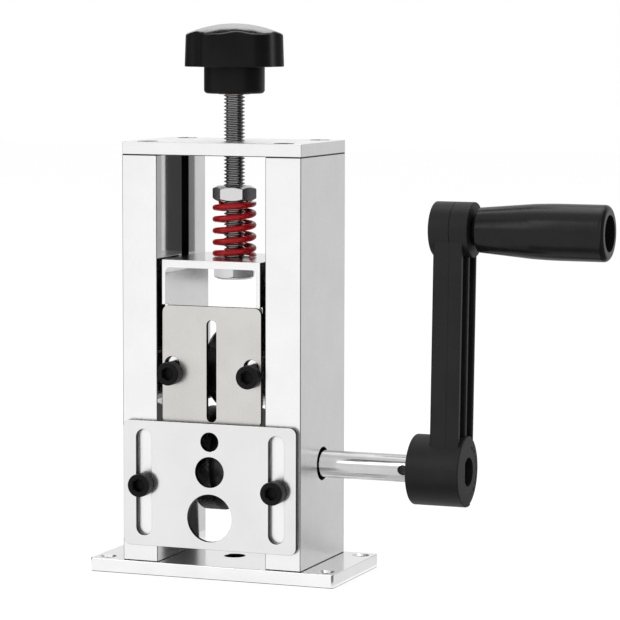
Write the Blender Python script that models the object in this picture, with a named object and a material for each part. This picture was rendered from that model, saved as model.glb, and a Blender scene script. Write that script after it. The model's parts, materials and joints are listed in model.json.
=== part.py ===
"""Drill-powered wire stripper: a screw-loaded blade carriage over a driven feed roller.

Metres, +Z up. The origin is the centre of the base plate's underside, +X is the crank side
and -Y is the side that the wire enters.
"""

from math import acos, cos, pi, radians, sin

import bmesh
import bpy
from mathutils import Vector

# Clearances, overruns and edge breaks
SEAT_GAP = 0.0003
CUT_OVERRUN = 0.001
EDGE_BREAK = 0.0004
SHEET_EDGE_BREAK = 0.0003

# Facets on round pieces
FINE_SIDES = 40
ROUND_SIDES = 24
SMALL_SIDES = 16
CORNER_STEPS = 4
SMOOTH_ANGLE = radians(40)

# Frame: base plate, two walls and a top plate
FRAME_WIDTH = 0.0800
FRAME_DEPTH = 0.0514
FRAME_HEIGHT = 0.1820
WALL_THICKNESS = 0.0157
TOP_THICKNESS = 0.0055
BASE_LENGTH = 0.1100
BASE_DEPTH = 0.0540
BASE_THICKNESS = 0.0057
BASE_CORNER_CHAMFER = 0.0010

# Holes of the base plate
MOUNT_HOLE_RADIUS = 0.00265
MOUNT_HOLE_RIM_RADIUS = 0.0034
MOUNT_HOLE_EDGE = 0.0055
MOUNT_HOLE_EDGE_DEPTH = 0.0062
CENTRE_HOLE_RADIUS = 0.0045
CENTRE_HOLE_DEPTH = 0.0045

# Countersunk screws of the frame
BASE_SCREW_RADIUS = 0.0025
BASE_SCREW_HEAD_RADIUS = 0.0046
BASE_SCREW_LENGTH = 0.0180
BASE_SCREW_Y = 0.0170
TOP_SCREW_RADIUS = 0.0020
TOP_SCREW_HEAD_RADIUS = 0.0041
TOP_SCREW_LENGTH = 0.0160
TOP_SCREW_INSET = 0.0095
TOP_SCREW_Y = 0.0205
HEAD_RIM = 0.0004
HEAD_SINK = 0.0006
FLAT_SOCKET_SHARE = 0.33
FLAT_SOCKET_DEPTH = 0.0016

# Socket-head screws of the two plates
CAP_RADIUS = 0.0049
CAP_HEIGHT = 0.0050
CAP_SHANK_RADIUS = 0.0030
CAP_SOCKET_WIDTH = 0.0050
CAP_SOCKET_DEPTH = 0.0030
CAP_EDGE_BREAK = 0.0005
CAP_ENGAGEMENT = 0.0110

# Guide plate on the front of the walls
GUIDE_SIDE_INSET = 0.0011
GUIDE_HEIGHT = 0.0529
GUIDE_THICKNESS = 0.0020
GUIDE_ABOVE_BASE = 0.0071
PLATE_CORNER_RADIUS = 0.0030
GUIDE_SLOT_WIDTH = 0.0070
GUIDE_SLOT_LENGTH = 0.0450
GUIDE_SLOT_RISE = 0.0003
GUIDE_SCREW_DROP = 0.0005
GUIDE_SCREW_INSET = 0.00235
GUIDE_HOLE_SHIFT = 0.0003
GUIDE_SMALL_RADIUS = 0.0040
GUIDE_SMALL_HEIGHT = 0.0452
GUIDE_MEDIUM_RADIUS = 0.0064
GUIDE_MEDIUM_HEIGHT = 0.0325
GUIDE_LARGE_RADIUS = 0.0100
GUIDE_LARGE_HEIGHT = 0.0132

# Drive shaft, bushes and feed roller
SHAFT_HEIGHT_SHARE = 0.26099
SHAFT_RADIUS = 0.0057
SHAFT_END_INSET = 0.0010
SHAFT_EDGE_BREAK = 0.0006
CROSS_HOLE_RADIUS = 0.0021
CROSS_HOLE_SETBACK = 0.0039
SHAFT_FLAT_DEPTH = 0.0012
SHAFT_FLAT_LENGTH = 0.0090
WALL_HOLE_RADIUS = 0.0069
BUSH_RADIUS = 0.0087
BUSH_LIP = 0.0035
ROLLER_RADIUS = 0.0220
ROLLER_WIDTH = 0.0236
ROLLER_EDGE_BREAK = 0.0006
ROLLER_GROOVE_WIDTH = 0.0050
SPACER_RADIUS = 0.0090
ROLLER_SCREW_RADIUS = 0.0020
ROLLER_SCREW_LENGTH = 0.0080
ROLLER_SCREW_SHARE = 0.65

# Blade, collars, bush and axle
COLLAR_RADIUS = 0.0167
NIP_GAP = 0.0005
BLADE_STANDOUT = 0.0020
BLADE_THICKNESS = 0.0024
BLADE_FLAT_SHARE = 0.15
BLADE_BEVEL_DEPTH = 0.0030
GROOVE_BOTTOM_CLEARANCE = 0.0012
COLLAR_HALF_WIDTH = 0.0076
COLLAR_CHAMFER = 0.0022
BLADE_BUSH_WALL = 0.0014
AXLE_RADIUS = 0.0040
AXLE_SCREW_RADIUS = 0.0015
AXLE_SCREW_LENGTH = 0.0024

# Carriage: bracket, cheeks and guide keys
CARRIAGE_SIDE_GAP = 0.0023
CARRIAGE_BACK_INSET = 0.0059
WEB_HEIGHT_SHARE = 0.73187
WEB_THICKNESS = 0.0033
LEG_THICKNESS = 0.0016
BRACKET_BEND_RADIUS = 0.0022
CHEEK_ROLLER_GAP = 0.0040
CHEEK_HEIGHT = 0.0202
CHEEK_COLLAR_GAP = 0.0006
EAR_HEIGHT = 0.0120
EAR_THICKNESS_SHARE = 0.3768
EAR_BACK_Y = 0.0090
KEY_SIDE_GAP = 0.0004
KEY_HEIGHT = 0.0280
KEY_BELOW_EAR_TOP = 0.0140
KEY_SCREW_RADIUS = 0.0015
KEY_SCREW_HEAD_RADIUS = 0.0027
KEY_SCREW_PITCH = 0.0066
KEY_GROOVE_WIDTH = 0.0075
KEY_GROOVE_DEPTH = 0.0034
KEY_GROOVE_Y = 0.00385
KEY_GROOVE_BOTTOM_Z = 0.0680

# Sight plate on the carriage
SIGHT_SIDE_OVERHANG = 0.0002
SIGHT_HEIGHT = 0.0499
SIGHT_THICKNESS = 0.0020
SIGHT_TOP_ABOVE_BLADE = 0.0275
SIGHT_FRONT_INSET = 0.0007
SIGHT_SLOT_WIDTH = 0.0043
SIGHT_SLOT_LENGTH = 0.0426
SIGHT_SLOT_TOP_MARGIN = 0.0057
SIGHT_SCREW_INSET = 0.0042
SIGHT_SCREW_BELOW_BLADE = 0.0008
SIGHT_SIDE_SLOT_WIDTH = 0.0068
SIGHT_SIDE_SLOT_TRAVEL = 0.0035

# Pressure screw, nut and spring
SCREW_RADIUS = 0.0045
SCREW_HOLE_CLEARANCE = 0.0004
SCREW_EDGE_BREAK = 0.0008
HEAD_ACROSS_FLATS = 0.0166
HEAD_HEIGHT = 0.0056
HEAD_TURN = radians(48.8)
NUT_ACROSS_FLATS = 0.0162
NUT_HEIGHT = 0.0066
NUT_TURN = radians(12.9)
HEX_CHAMFER_SLOPE_SHARE = 0.58
SPRING_HEIGHT = 0.0227
SPRING_OUTER_RADIUS = 0.0093
WIRE_RADIUS = 0.00125
SPRING_TURNS = 5.37
SPRING_CLOSING_TURNS = 0.80
SPRING_GROUND_DEPTH = 0.0010
SPRING_START_ANGLE = radians(9)
SPRING_POINTS_PER_TURN = 10
WIRE_SIDES = 6

# Knob
KNOB_ABOVE_FRAME = 0.0197
KNOB_COLLAR_RADIUS = 0.01275
KNOB_COLLAR_HEIGHT = 0.0112
KNOB_COLLAR_FILLET = 0.0016
KNOB_RADIUS = 0.0206
KNOB_SKIRT_HEIGHT = 0.0141
KNOB_DOME_RISE = 0.0039
KNOB_SHOULDER = 0.0020
KNOB_DRAFT = 0.0002
KNOB_LOBES = 6
KNOB_SCALLOP_DEPTH = 0.0017
KNOB_SCALLOP_SHARPNESS = 2.0
KNOB_TURN = radians(-65)
KNOB_SIDES = 60
INSERT_RADIUS = 0.0065
INSERT_HEIGHT = 0.0140
INSERT_STANDOUT = 0.0003
SCREW_IN_KNOB = 0.0125

# Crank
CRANK_RADIUS = 0.0996
CRANK_TILT = radians(2.2)
CRANK_STANDOFF = 0.0413
LOWER_HUB_RADIUS = 0.01465
LOWER_HUB_LENGTH = 0.0228
UPPER_HUB_RADIUS = 0.0114
UPPER_HUB_LENGTH = 0.0169
UPPER_HUB_STANDOUT = 0.0010
ARM_THICKNESS = 0.0123
ARM_HALF_WIDTH = 0.0102
ARM_FACE_INSET = 0.0014
ARM_FLANGE = 0.0023
ARM_RIB = 0.0026
ARM_CHANNEL_DEPTH = 0.0045
HUB_BORE_LENGTH = 0.0150
SOCKET_RADIUS = 0.0060
SOCKET_FLAT_Y = 0.0046
HUB_STEP_DEPTH = 0.0008
HUB_STEP_Y = 0.0030
HUB_STEP_RADIUS = 0.0108
CRANK_SCREW_RADIUS = 0.0025
CRANK_SCREW_LENGTH = 0.0075
HUB_EDGE_BREAK = 0.0006

# Grip and its spindle
GRIP_START = 0.0019
GRIP_LENGTH = 0.0549
GRIP_NECK_RADIUS = 0.0093
GRIP_WAIST_RADIUS = 0.01125
GRIP_RADIUS = 0.0116
GRIP_WAIST_SHARE = 0.42
GRIP_BELLY_SHARE = 0.65
GRIP_END_ROUND = 0.0022
GRIP_INNER_ROUND = 0.0007
GRIP_RECESS_RADIUS = 0.0075
GRIP_RECESS_DEPTH = 0.0120
SPINDLE_RADIUS = 0.0040
SPINDLE_NECK_RADIUS = 0.0062
SPINDLE_HEAD_RADIUS = 0.0062
SPINDLE_HEAD_HEIGHT = 0.0040
SPINDLE_SOCKET_WIDTH = 0.0050
SPINDLE_SOCKET_DEPTH = 0.0025
SPINDLE_ENGAGEMENT = 0.0090

# Places worked out from the sizes above
FRONT_Y = -FRAME_DEPTH / 2
BACK_Y = FRAME_DEPTH / 2
INNER_X = FRAME_WIDTH / 2 - WALL_THICKNESS
OUTER_X = FRAME_WIDTH / 2
WALL_MIDDLE_X = OUTER_X - WALL_THICKNESS / 2
WALL_BOTTOM_Z = BASE_THICKNESS + SEAT_GAP
TOP_PLATE_Z = FRAME_HEIGHT - TOP_THICKNESS
WALL_TOP_Z = TOP_PLATE_Z - SEAT_GAP
TOP_SCREW_X = OUTER_X - TOP_SCREW_INSET

GUIDE_SCREW_X = WALL_MIDDLE_X - GUIDE_SCREW_INSET
GUIDE_BOTTOM_Z = BASE_THICKNESS + GUIDE_ABOVE_BASE
GUIDE_BACK_Y = FRONT_Y - SEAT_GAP
GUIDE_FRONT_Y = GUIDE_BACK_Y - GUIDE_THICKNESS
GUIDE_MIDDLE_Z = GUIDE_BOTTOM_Z + GUIDE_HEIGHT / 2
GUIDE_SLOT_Z = GUIDE_MIDDLE_Z + GUIDE_SLOT_RISE
GUIDE_SCREW_Z = GUIDE_MIDDLE_Z - GUIDE_SCREW_DROP

SHAFT_Z = FRAME_HEIGHT * SHAFT_HEIGHT_SHARE
BORE_RADIUS = SHAFT_RADIUS + SEAT_GAP
ROLLER_TOP_Z = SHAFT_Z + ROLLER_RADIUS
BLADE_Z = ROLLER_TOP_Z + NIP_GAP + COLLAR_RADIUS
BLADE_RADIUS = COLLAR_RADIUS + BLADE_STANDOUT
ROLLER_GROOVE_DEPTH = BLADE_STANDOUT + GROOVE_BOTTOM_CLEARANCE
AXLE_BORE_RADIUS = AXLE_RADIUS + SEAT_GAP
BLADE_BUSH_RADIUS = AXLE_BORE_RADIUS + BLADE_BUSH_WALL
BLADE_BORE_RADIUS = BLADE_BUSH_RADIUS + SEAT_GAP

BRACKET_X = INNER_X - CARRIAGE_SIDE_GAP
LEG_INNER_X = BRACKET_X - LEG_THICKNESS
BRACKET_BACK_Y = BACK_Y - CARRIAGE_BACK_INSET
WEB_TOP_Z = FRAME_HEIGHT * WEB_HEIGHT_SHARE
WEB_BOTTOM_Z = WEB_TOP_Z - WEB_THICKNESS
CHEEK_BOTTOM_Z = ROLLER_TOP_Z + CHEEK_ROLLER_GAP
CHEEK_TOP_Z = CHEEK_BOTTOM_Z + CHEEK_HEIGHT
CHEEK_INNER_X = COLLAR_HALF_WIDTH + CHEEK_COLLAR_GAP
EAR_TOP_Z = CHEEK_TOP_Z + EAR_HEIGHT
EAR_OUTER_X = LEG_INNER_X - SEAT_GAP
EAR_INNER_X = EAR_OUTER_X - (BRACKET_X - CHEEK_INNER_X) * EAR_THICKNESS_SHARE
SIGHT_FRONT_Y = FRONT_Y + SIGHT_FRONT_INSET
SIGHT_BACK_Y = SIGHT_FRONT_Y + SIGHT_THICKNESS
CHEEK_FRONT_Y = SIGHT_BACK_Y + SEAT_GAP
SIGHT_TOP_Z = BLADE_Z + SIGHT_TOP_ABOVE_BLADE
SIGHT_SCREW_X = BRACKET_X - SIGHT_SCREW_INSET
SIGHT_SCREW_Z = BLADE_Z - SIGHT_SCREW_BELOW_BLADE
KEY_BOTTOM_Z = EAR_TOP_Z - KEY_BELOW_EAR_TOP
KEY_INNER_X = BRACKET_X + SEAT_GAP
KEY_OUTER_X = INNER_X + KEY_GROOVE_DEPTH - KEY_SIDE_GAP
KEY_MIDDLE_Z = (CHEEK_TOP_Z + EAR_TOP_Z) / 2

HEAD_TOP_Z = WEB_BOTTOM_Z - SEAT_GAP
SPRING_BOTTOM_Z = WEB_TOP_Z + SEAT_GAP
SPRING_TOP_Z = SPRING_BOTTOM_Z + SPRING_HEIGHT
NUT_BOTTOM_Z = SPRING_TOP_Z + SEAT_GAP
KNOB_BOTTOM_Z = FRAME_HEIGHT + KNOB_ABOVE_FRAME
SKIRT_BOTTOM_Z = KNOB_BOTTOM_Z + KNOB_COLLAR_HEIGHT
SCREW_TOP_Z = KNOB_BOTTOM_Z + SCREW_IN_KNOB
SCREW_HOLE_RADIUS = SCREW_RADIUS + SCREW_HOLE_CLEARANCE

HUB_START_X = OUTER_X + CRANK_STANDOFF
HUB_END_X = HUB_START_X + LOWER_HUB_LENGTH
SHAFT_START_X = -OUTER_X + SHAFT_END_INSET
HUB_BORE_END_X = HUB_START_X + HUB_BORE_LENGTH
SHAFT_END_X = HUB_BORE_END_X - SEAT_GAP
ARM_OUTER_X = HUB_END_X - ARM_FACE_INSET
ARM_INNER_X = ARM_OUTER_X - ARM_THICKNESS
UPPER_HUB_END_X = HUB_END_X + UPPER_HUB_STANDOUT
UPPER_HUB_START_X = UPPER_HUB_END_X - UPPER_HUB_LENGTH
SPINDLE_START_X = UPPER_HUB_END_X - SPINDLE_ENGAGEMENT
GRIP_START_X = UPPER_HUB_END_X + GRIP_START
GRIP_END_X = GRIP_START_X + GRIP_LENGTH
GRIP_FLOOR_X = GRIP_END_X - GRIP_RECESS_DEPTH
SPINDLE_BORE_RADIUS = SPINDLE_RADIUS + SEAT_GAP


def remove_old_objects():
    for old in list(bpy.data.objects):
        bpy.data.objects.remove(old)


def make_material(name, colour, roughness, metallic):
    material = bpy.data.materials.new(name)
    material.use_nodes = True
    shader = material.node_tree.nodes["Principled BSDF"]
    shader.inputs["Base Color"].default_value = (*colour, 1.0)
    shader.inputs["Roughness"].default_value = roughness
    shader.inputs["Metallic"].default_value = metallic
    return material


def make_materials():
    return {
        "aluminium": make_material("aluminium", (0.80, 0.80, 0.80), 0.35, 1.0),
        "steel_sheet": make_material("steel_sheet", (0.62, 0.61, 0.59), 0.35, 1.0),
        "bright_steel": make_material("bright_steel", (0.68, 0.68, 0.69), 0.20, 1.0),
        "dark_steel": make_material("dark_steel", (0.05, 0.05, 0.055), 0.40, 0.6),
        "black_oxide": make_material("black_oxide", (0.02, 0.02, 0.022), 0.35, 0.6),
        "bronze": make_material("bronze", (0.55, 0.38, 0.18), 0.40, 1.0),
        "brass": make_material("brass", (0.72, 0.55, 0.25), 0.30, 1.0),
        "red_paint": make_material("red_paint", (0.45, 0.01, 0.015), 0.35, 0.0),
        "gloss_black": make_material("gloss_black", (0.012, 0.012, 0.013), 0.22, 0.0),
        "matte_black": make_material("matte_black", (0.025, 0.025, 0.027), 0.50, 0.0),
    }


# Outlines, as lists of points in a plane


def arc(centre, radius, start, end, steps):
    angles = [start + (end - start) * i / steps for i in range(steps + 1)]
    return [(centre[0] + radius * cos(a), centre[1] + radius * sin(a)) for a in angles]


def circle(centre, radius, sides):
    return arc(centre, radius, 0, 2 * pi, sides)[:-1]


def rounded_rectangle(low, high, radius):
    corners = (
        ((high[0] - radius, high[1] - radius), 0),
        ((low[0] + radius, high[1] - radius), 1),
        ((low[0] + radius, low[1] + radius), 2),
        ((high[0] - radius, low[1] + radius), 3),
    )
    points = []
    for centre, quarter in corners:
        points += arc(centre, radius, quarter * pi / 2, (quarter + 1) * pi / 2, CORNER_STEPS)
    return points


def upright_slot(centre, width, length):
    radius = width / 2
    reach = length / 2 - radius
    top = arc((centre[0], centre[1] + reach), radius, 0, pi, SMALL_SIDES // 2)
    bottom = arc((centre[0], centre[1] - reach), radius, pi, 2 * pi, SMALL_SIDES // 2)
    return top + bottom


def hexagon(across_flats, turn=0.0):
    radius = across_flats / 2 / cos(pi / 6)
    return [(radius * cos(turn + i * pi / 3), radius * sin(turn + i * pi / 3)) for i in range(6)]


# Solids, as bmesh data


AXES = {
    "X": lambda a, b, along: Vector((along, a, b)),
    "Y": lambda a, b, along: Vector((a, along, b)),
    "Z": lambda a, b, along: Vector((a, b, along)),
}


def prism(outline, axis, start, end):
    place = AXES[axis]
    mesh = bmesh.new()
    near = [mesh.verts.new(place(a, b, start)) for a, b in outline]
    far = [mesh.verts.new(place(a, b, end)) for a, b in outline]
    mesh.faces.new(near)
    mesh.faces.new(far)
    for i, vertex in enumerate(near):
        j = (i + 1) % len(near)
        mesh.faces.new((vertex, near[j], far[j], far[i]))
    bmesh.ops.recalc_face_normals(mesh, faces=mesh.faces)
    return mesh


def block(low, high):
    outline = [(low[0], low[1]), (high[0], low[1]), (high[0], high[1]), (low[0], high[1])]
    return prism(outline, "Z", low[2], high[2])


def turned(profile, axis, sides, centre=(0.0, 0.0)):
    """Revolves (radius, place along the axis) pairs. A profile off the axis closes on itself."""
    place = AXES[axis]
    mesh = bmesh.new()
    rings = []
    for radius, along in profile:
        if radius == 0:
            rings.append([mesh.verts.new(place(centre[0], centre[1], along))])
        else:
            rings.append([mesh.verts.new(place(a, b, along)) for a, b in circle(centre, radius, sides)])
    pairs = list(zip(rings, rings[1:]))
    if profile[0][0] != 0:
        pairs.append((rings[-1], rings[0]))
    for first, second in pairs:
        for i in range(sides):
            j = (i + 1) % sides
            if len(first) == 1:
                mesh.faces.new((first[0], second[i], second[j]))
            elif len(second) == 1:
                mesh.faces.new((first[i], first[j], second[0]))
            else:
                mesh.faces.new((first[i], first[j], second[j], second[i]))
    bmesh.ops.recalc_face_normals(mesh, faces=mesh.faces)
    return mesh


def rod(radius, start, end, axis, sides, centre=(0.0, 0.0)):
    return turned([(0, start), (radius, start), (radius, end), (0, end)], axis, sides, centre)


def tube(outer, inner, start, end, axis, sides, edge_break=0.0):
    profile = [(inner, start), (outer - edge_break, start), (outer, start + edge_break)]
    profile += [(outer, end - edge_break), (outer - edge_break, end), (inner, end)]
    if edge_break == 0:
        profile = [(inner, start), (outer, start), (outer, end), (inner, end)]
    return turned(profile, axis, sides)


def join(*meshes):
    joined = meshes[0]
    for mesh in meshes[1:]:
        copy = bpy.data.meshes.new("joined")
        mesh.to_mesh(copy)
        joined.from_mesh(copy)
        mesh.free()
        bpy.data.meshes.remove(copy)
    return joined


# Objects


def add_piece(name, mesh, material, parent=None, location=(0, 0, 0), rotation=(0, 0, 0)):
    data = bpy.data.meshes.new(name)
    mesh.to_mesh(data)
    mesh.free()
    data.shade_smooth()
    data.set_sharp_from_angle(angle=SMOOTH_ANGLE)
    return place_piece(name, data, material, parent, location, rotation)


def place_piece(name, data, material, parent=None, location=(0, 0, 0), rotation=(0, 0, 0)):
    piece = bpy.data.objects.new(name, data)
    bpy.context.scene.collection.objects.link(piece)
    piece.location = location
    piece.rotation_euler = rotation
    piece.parent = parent
    if not data.materials:
        data.materials.append(material)
    return piece


def add_axis(name, location, parent=None):
    axis = bpy.data.objects.new(name, None)
    bpy.context.scene.collection.objects.link(axis)
    axis.location = location
    axis.parent = parent
    return axis


def combine(piece, mesh, operation):
    data = bpy.data.meshes.new(piece.name + "_guide")
    mesh.to_mesh(data)
    mesh.free()
    guide = bpy.data.objects.new(piece.name + "_guide", data)
    bpy.context.scene.collection.objects.link(guide)
    guide.parent = piece
    guide.hide_render = True
    guide.display_type = "WIRE"
    modifier = piece.modifiers.new(operation.lower(), "BOOLEAN")
    modifier.operation = operation
    modifier.solver = "EXACT"
    modifier.object = guide
    return piece


def cut(piece, *meshes):
    return combine(piece, join(*meshes), "DIFFERENCE")


def add_to(piece, mesh):
    return combine(piece, mesh, "UNION")


def break_edges(piece, width):
    modifier = piece.modifiers.new("edge_break", "BEVEL")
    modifier.width = width
    modifier.segments = 1
    modifier.limit_method = "ANGLE"
    modifier.angle_limit = SMOOTH_ANGLE
    return piece


def finished_data(piece):
    """The mesh of a piece with its modifiers, for copies of it. The piece itself goes."""
    bpy.context.view_layer.update()
    evaluated = piece.evaluated_get(bpy.context.evaluated_depsgraph_get())
    data = bpy.data.meshes.new_from_object(evaluated)
    for guide in list(piece.children):
        bpy.data.objects.remove(guide)
    bpy.data.objects.remove(piece)
    return data


# Screws and the holes that they sit in


def flat_screw_profile(radius, head_radius, length):
    cone_end = -HEAD_RIM - (head_radius - radius)
    return [
        (0, 0),
        (head_radius, 0),
        (head_radius, -HEAD_RIM),
        (radius, cone_end),
        (radius, -length),
        (0, -length),
    ]


def flat_screw_data(name, radius, head_radius, length, material):
    profile = flat_screw_profile(radius, head_radius, length)
    screw = add_piece(name, turned(profile, "Z", SMALL_SIDES), material)
    socket = hexagon(head_radius * 2 * FLAT_SOCKET_SHARE)
    cut(screw, prism(socket, "Z", -FLAT_SOCKET_DEPTH, CUT_OVERRUN))
    return finished_data(screw)


def flat_screw_hole(radius, head_radius, length, sink, axis, face, outward, centre):
    """The hole for a flat screw whose head lies sink below a face. outward is the face's side."""
    wide_rim = head_radius + SEAT_GAP
    wide = radius + SEAT_GAP
    cone_start = sink + HEAD_RIM
    cone_end = cone_start + (head_radius - radius)
    profile = [
        (0, CUT_OVERRUN),
        (wide_rim, CUT_OVERRUN),
        (wide_rim, -cone_start),
        (wide, -cone_end),
        (wide, -sink - length - SEAT_GAP),
        (0, -sink - length - SEAT_GAP),
    ]
    return turned([(r, face + outward * along) for r, along in profile], axis, SMALL_SIDES, centre)


def cap_screw(name, grip_length, material, location):
    """A socket-head screw along Y. Its origin is under its head, and it points to +Y."""
    edge = CAP_EDGE_BREAK
    profile = [
        (0, -CAP_HEIGHT),
        (CAP_RADIUS - edge, -CAP_HEIGHT),
        (CAP_RADIUS, -CAP_HEIGHT + edge),
        (CAP_RADIUS, 0),
        (CAP_SHANK_RADIUS, 0),
        (CAP_SHANK_RADIUS, grip_length),
        (0, grip_length),
    ]
    screw = add_piece(name, turned(profile, "Y", FINE_SIDES // 2), material, location=location)
    socket = hexagon(CAP_SOCKET_WIDTH, pi / 6)
    cut(screw, prism(socket, "Y", -CAP_HEIGHT - CUT_OVERRUN, -CAP_HEIGHT + CAP_SOCKET_DEPTH))
    return screw


# Frame


def corners_of(x, y):
    return [(side * x, end * y) for side in (-1, 1) for end in (-1, 1)]


def make_base_plate(materials):
    half_length = BASE_LENGTH / 2
    half_depth = BASE_DEPTH / 2
    chamfer = BASE_CORNER_CHAMFER
    outline = []
    for sx, sy in ((1, 1), (-1, 1), (-1, -1), (1, -1)):
        long_end = (sx * half_length, sy * (half_depth - chamfer))
        short_end = (sx * (half_length - chamfer), sy * half_depth)
        outline += [long_end, short_end] if sx * sy > 0 else [short_end, long_end]
    plate = add_piece("base_plate", prism(outline, "Z", 0, BASE_THICKNESS), materials["aluminium"])
    break_edges(plate, EDGE_BREAK)

    rim_slope = MOUNT_HOLE_RIM_RADIUS - MOUNT_HOLE_RADIUS
    mount_hole = [
        (0, -CUT_OVERRUN),
        (MOUNT_HOLE_RADIUS, -CUT_OVERRUN),
        (MOUNT_HOLE_RADIUS, BASE_THICKNESS - rim_slope),
        (MOUNT_HOLE_RIM_RADIUS, BASE_THICKNESS),
        (MOUNT_HOLE_RIM_RADIUS, BASE_THICKNESS + CUT_OVERRUN),
        (0, BASE_THICKNESS + CUT_OVERRUN),
    ]
    mount_x = half_length - MOUNT_HOLE_EDGE
    mount_y = half_depth - MOUNT_HOLE_EDGE_DEPTH
    holes = [turned(mount_hole, "Z", SMALL_SIDES, centre) for centre in corners_of(mount_x, mount_y)]
    floor = BASE_THICKNESS - CENTRE_HOLE_DEPTH
    holes.append(rod(CENTRE_HOLE_RADIUS, floor, BASE_THICKNESS + CUT_OVERRUN, "Z", ROUND_SIDES))
    holes += base_screw_holes(corners_of(WALL_MIDDLE_X, BASE_SCREW_Y))
    cut(plate, *holes)


def base_screw_holes(centres):
    sizes = (BASE_SCREW_RADIUS, BASE_SCREW_HEAD_RADIUS, BASE_SCREW_LENGTH, HEAD_SINK)
    return [flat_screw_hole(*sizes, "Z", 0, -1, centre) for centre in centres]


def top_screw_holes(centres):
    sizes = (TOP_SCREW_RADIUS, TOP_SCREW_HEAD_RADIUS, TOP_SCREW_LENGTH, HEAD_SINK)
    return [flat_screw_hole(*sizes, "Z", FRAME_HEIGHT, 1, centre) for centre in centres]


def make_wall(name, side, materials):
    low = (min(side * INNER_X, side * OUTER_X), FRONT_Y, WALL_BOTTOM_Z)
    high = (max(side * INNER_X, side * OUTER_X), BACK_Y, WALL_TOP_Z)
    wall = add_piece(name, block(low, high), materials["aluminium"])
    break_edges(wall, EDGE_BREAK)

    step_x = OUTER_X - BUSH_LIP
    bore = [
        (0, INNER_X - CUT_OVERRUN),
        (BUSH_RADIUS + SEAT_GAP, INNER_X - CUT_OVERRUN),
        (BUSH_RADIUS + SEAT_GAP, step_x),
        (WALL_HOLE_RADIUS, step_x),
        (WALL_HOLE_RADIUS, OUTER_X + CUT_OVERRUN),
        (0, OUTER_X + CUT_OVERRUN),
    ]
    bore = turned([(r, side * x) for r, x in bore], "X", ROUND_SIDES, (0, SHAFT_Z))

    groove_x = sorted((side * (INNER_X - CUT_OVERRUN), side * (INNER_X + KEY_GROOVE_DEPTH)))
    groove = block(
        (groove_x[0], KEY_GROOVE_Y - KEY_GROOVE_WIDTH / 2, KEY_GROOVE_BOTTOM_Z),
        (groove_x[1], KEY_GROOVE_Y + KEY_GROOVE_WIDTH / 2, WALL_TOP_Z + CUT_OVERRUN),
    )

    thread_radius = CAP_SHANK_RADIUS + SEAT_GAP
    thread_end = FRONT_Y + CAP_ENGAGEMENT + SEAT_GAP
    screw_centre = (side * GUIDE_SCREW_X, GUIDE_SCREW_Z)
    thread = rod(thread_radius, FRONT_Y - CUT_OVERRUN, thread_end, "Y", SMALL_SIDES, screw_centre)

    below = base_screw_holes([(side * WALL_MIDDLE_X, end * BASE_SCREW_Y) for end in (-1, 1)])
    above = top_screw_holes([(side * TOP_SCREW_X, end * TOP_SCREW_Y) for end in (-1, 1)])
    cut(wall, bore, groove, thread, *below, *above)


def make_top_plate(materials):
    low = (-OUTER_X, FRONT_Y, TOP_PLATE_Z)
    high = (OUTER_X, BACK_Y, FRAME_HEIGHT)
    plate = add_piece("top_plate", block(low, high), materials["aluminium"])
    break_edges(plate, EDGE_BREAK)
    start = TOP_PLATE_Z - CUT_OVERRUN
    end = FRAME_HEIGHT + CUT_OVERRUN
    holes = [rod(SCREW_HOLE_RADIUS, start, end, "Z", ROUND_SIDES)]
    holes += top_screw_holes(corners_of(TOP_SCREW_X, TOP_SCREW_Y))
    cut(plate, *holes)


def make_frame_screws(materials):
    black = materials["black_oxide"]
    sizes = (TOP_SCREW_RADIUS, TOP_SCREW_HEAD_RADIUS, TOP_SCREW_LENGTH)
    data = flat_screw_data("top_screw", *sizes, black)
    for number, (x, y) in enumerate(corners_of(TOP_SCREW_X, TOP_SCREW_Y), 1):
        place = (x, y, FRAME_HEIGHT - HEAD_SINK)
        place_piece(f"top_screw_{number}", data, black, location=place)
    sizes = (BASE_SCREW_RADIUS, BASE_SCREW_HEAD_RADIUS, BASE_SCREW_LENGTH)
    data = flat_screw_data("base_screw", *sizes, black)
    for number, (x, y) in enumerate(corners_of(WALL_MIDDLE_X, BASE_SCREW_Y), 1):
        place_piece(f"base_screw_{number}", data, black, location=(x, y, HEAD_SINK), rotation=(pi, 0, 0))


def make_shaft_bush(name, side, materials):
    start = side * (INNER_X + SEAT_GAP)
    end = side * (OUTER_X - BUSH_LIP - SEAT_GAP)
    mesh = tube(BUSH_RADIUS, BORE_RADIUS, min(start, end), max(start, end), "X", ROUND_SIDES)
    add_piece(name, mesh, materials["bronze"], location=(0, 0, SHAFT_Z))


def make_frame(materials):
    make_base_plate(materials)
    make_wall("left_wall", -1, materials)
    make_wall("right_wall", 1, materials)
    make_top_plate(materials)
    make_frame_screws(materials)
    make_shaft_bush("left_shaft_bush", -1, materials)
    make_shaft_bush("right_shaft_bush", 1, materials)


# Guide plate


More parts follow.
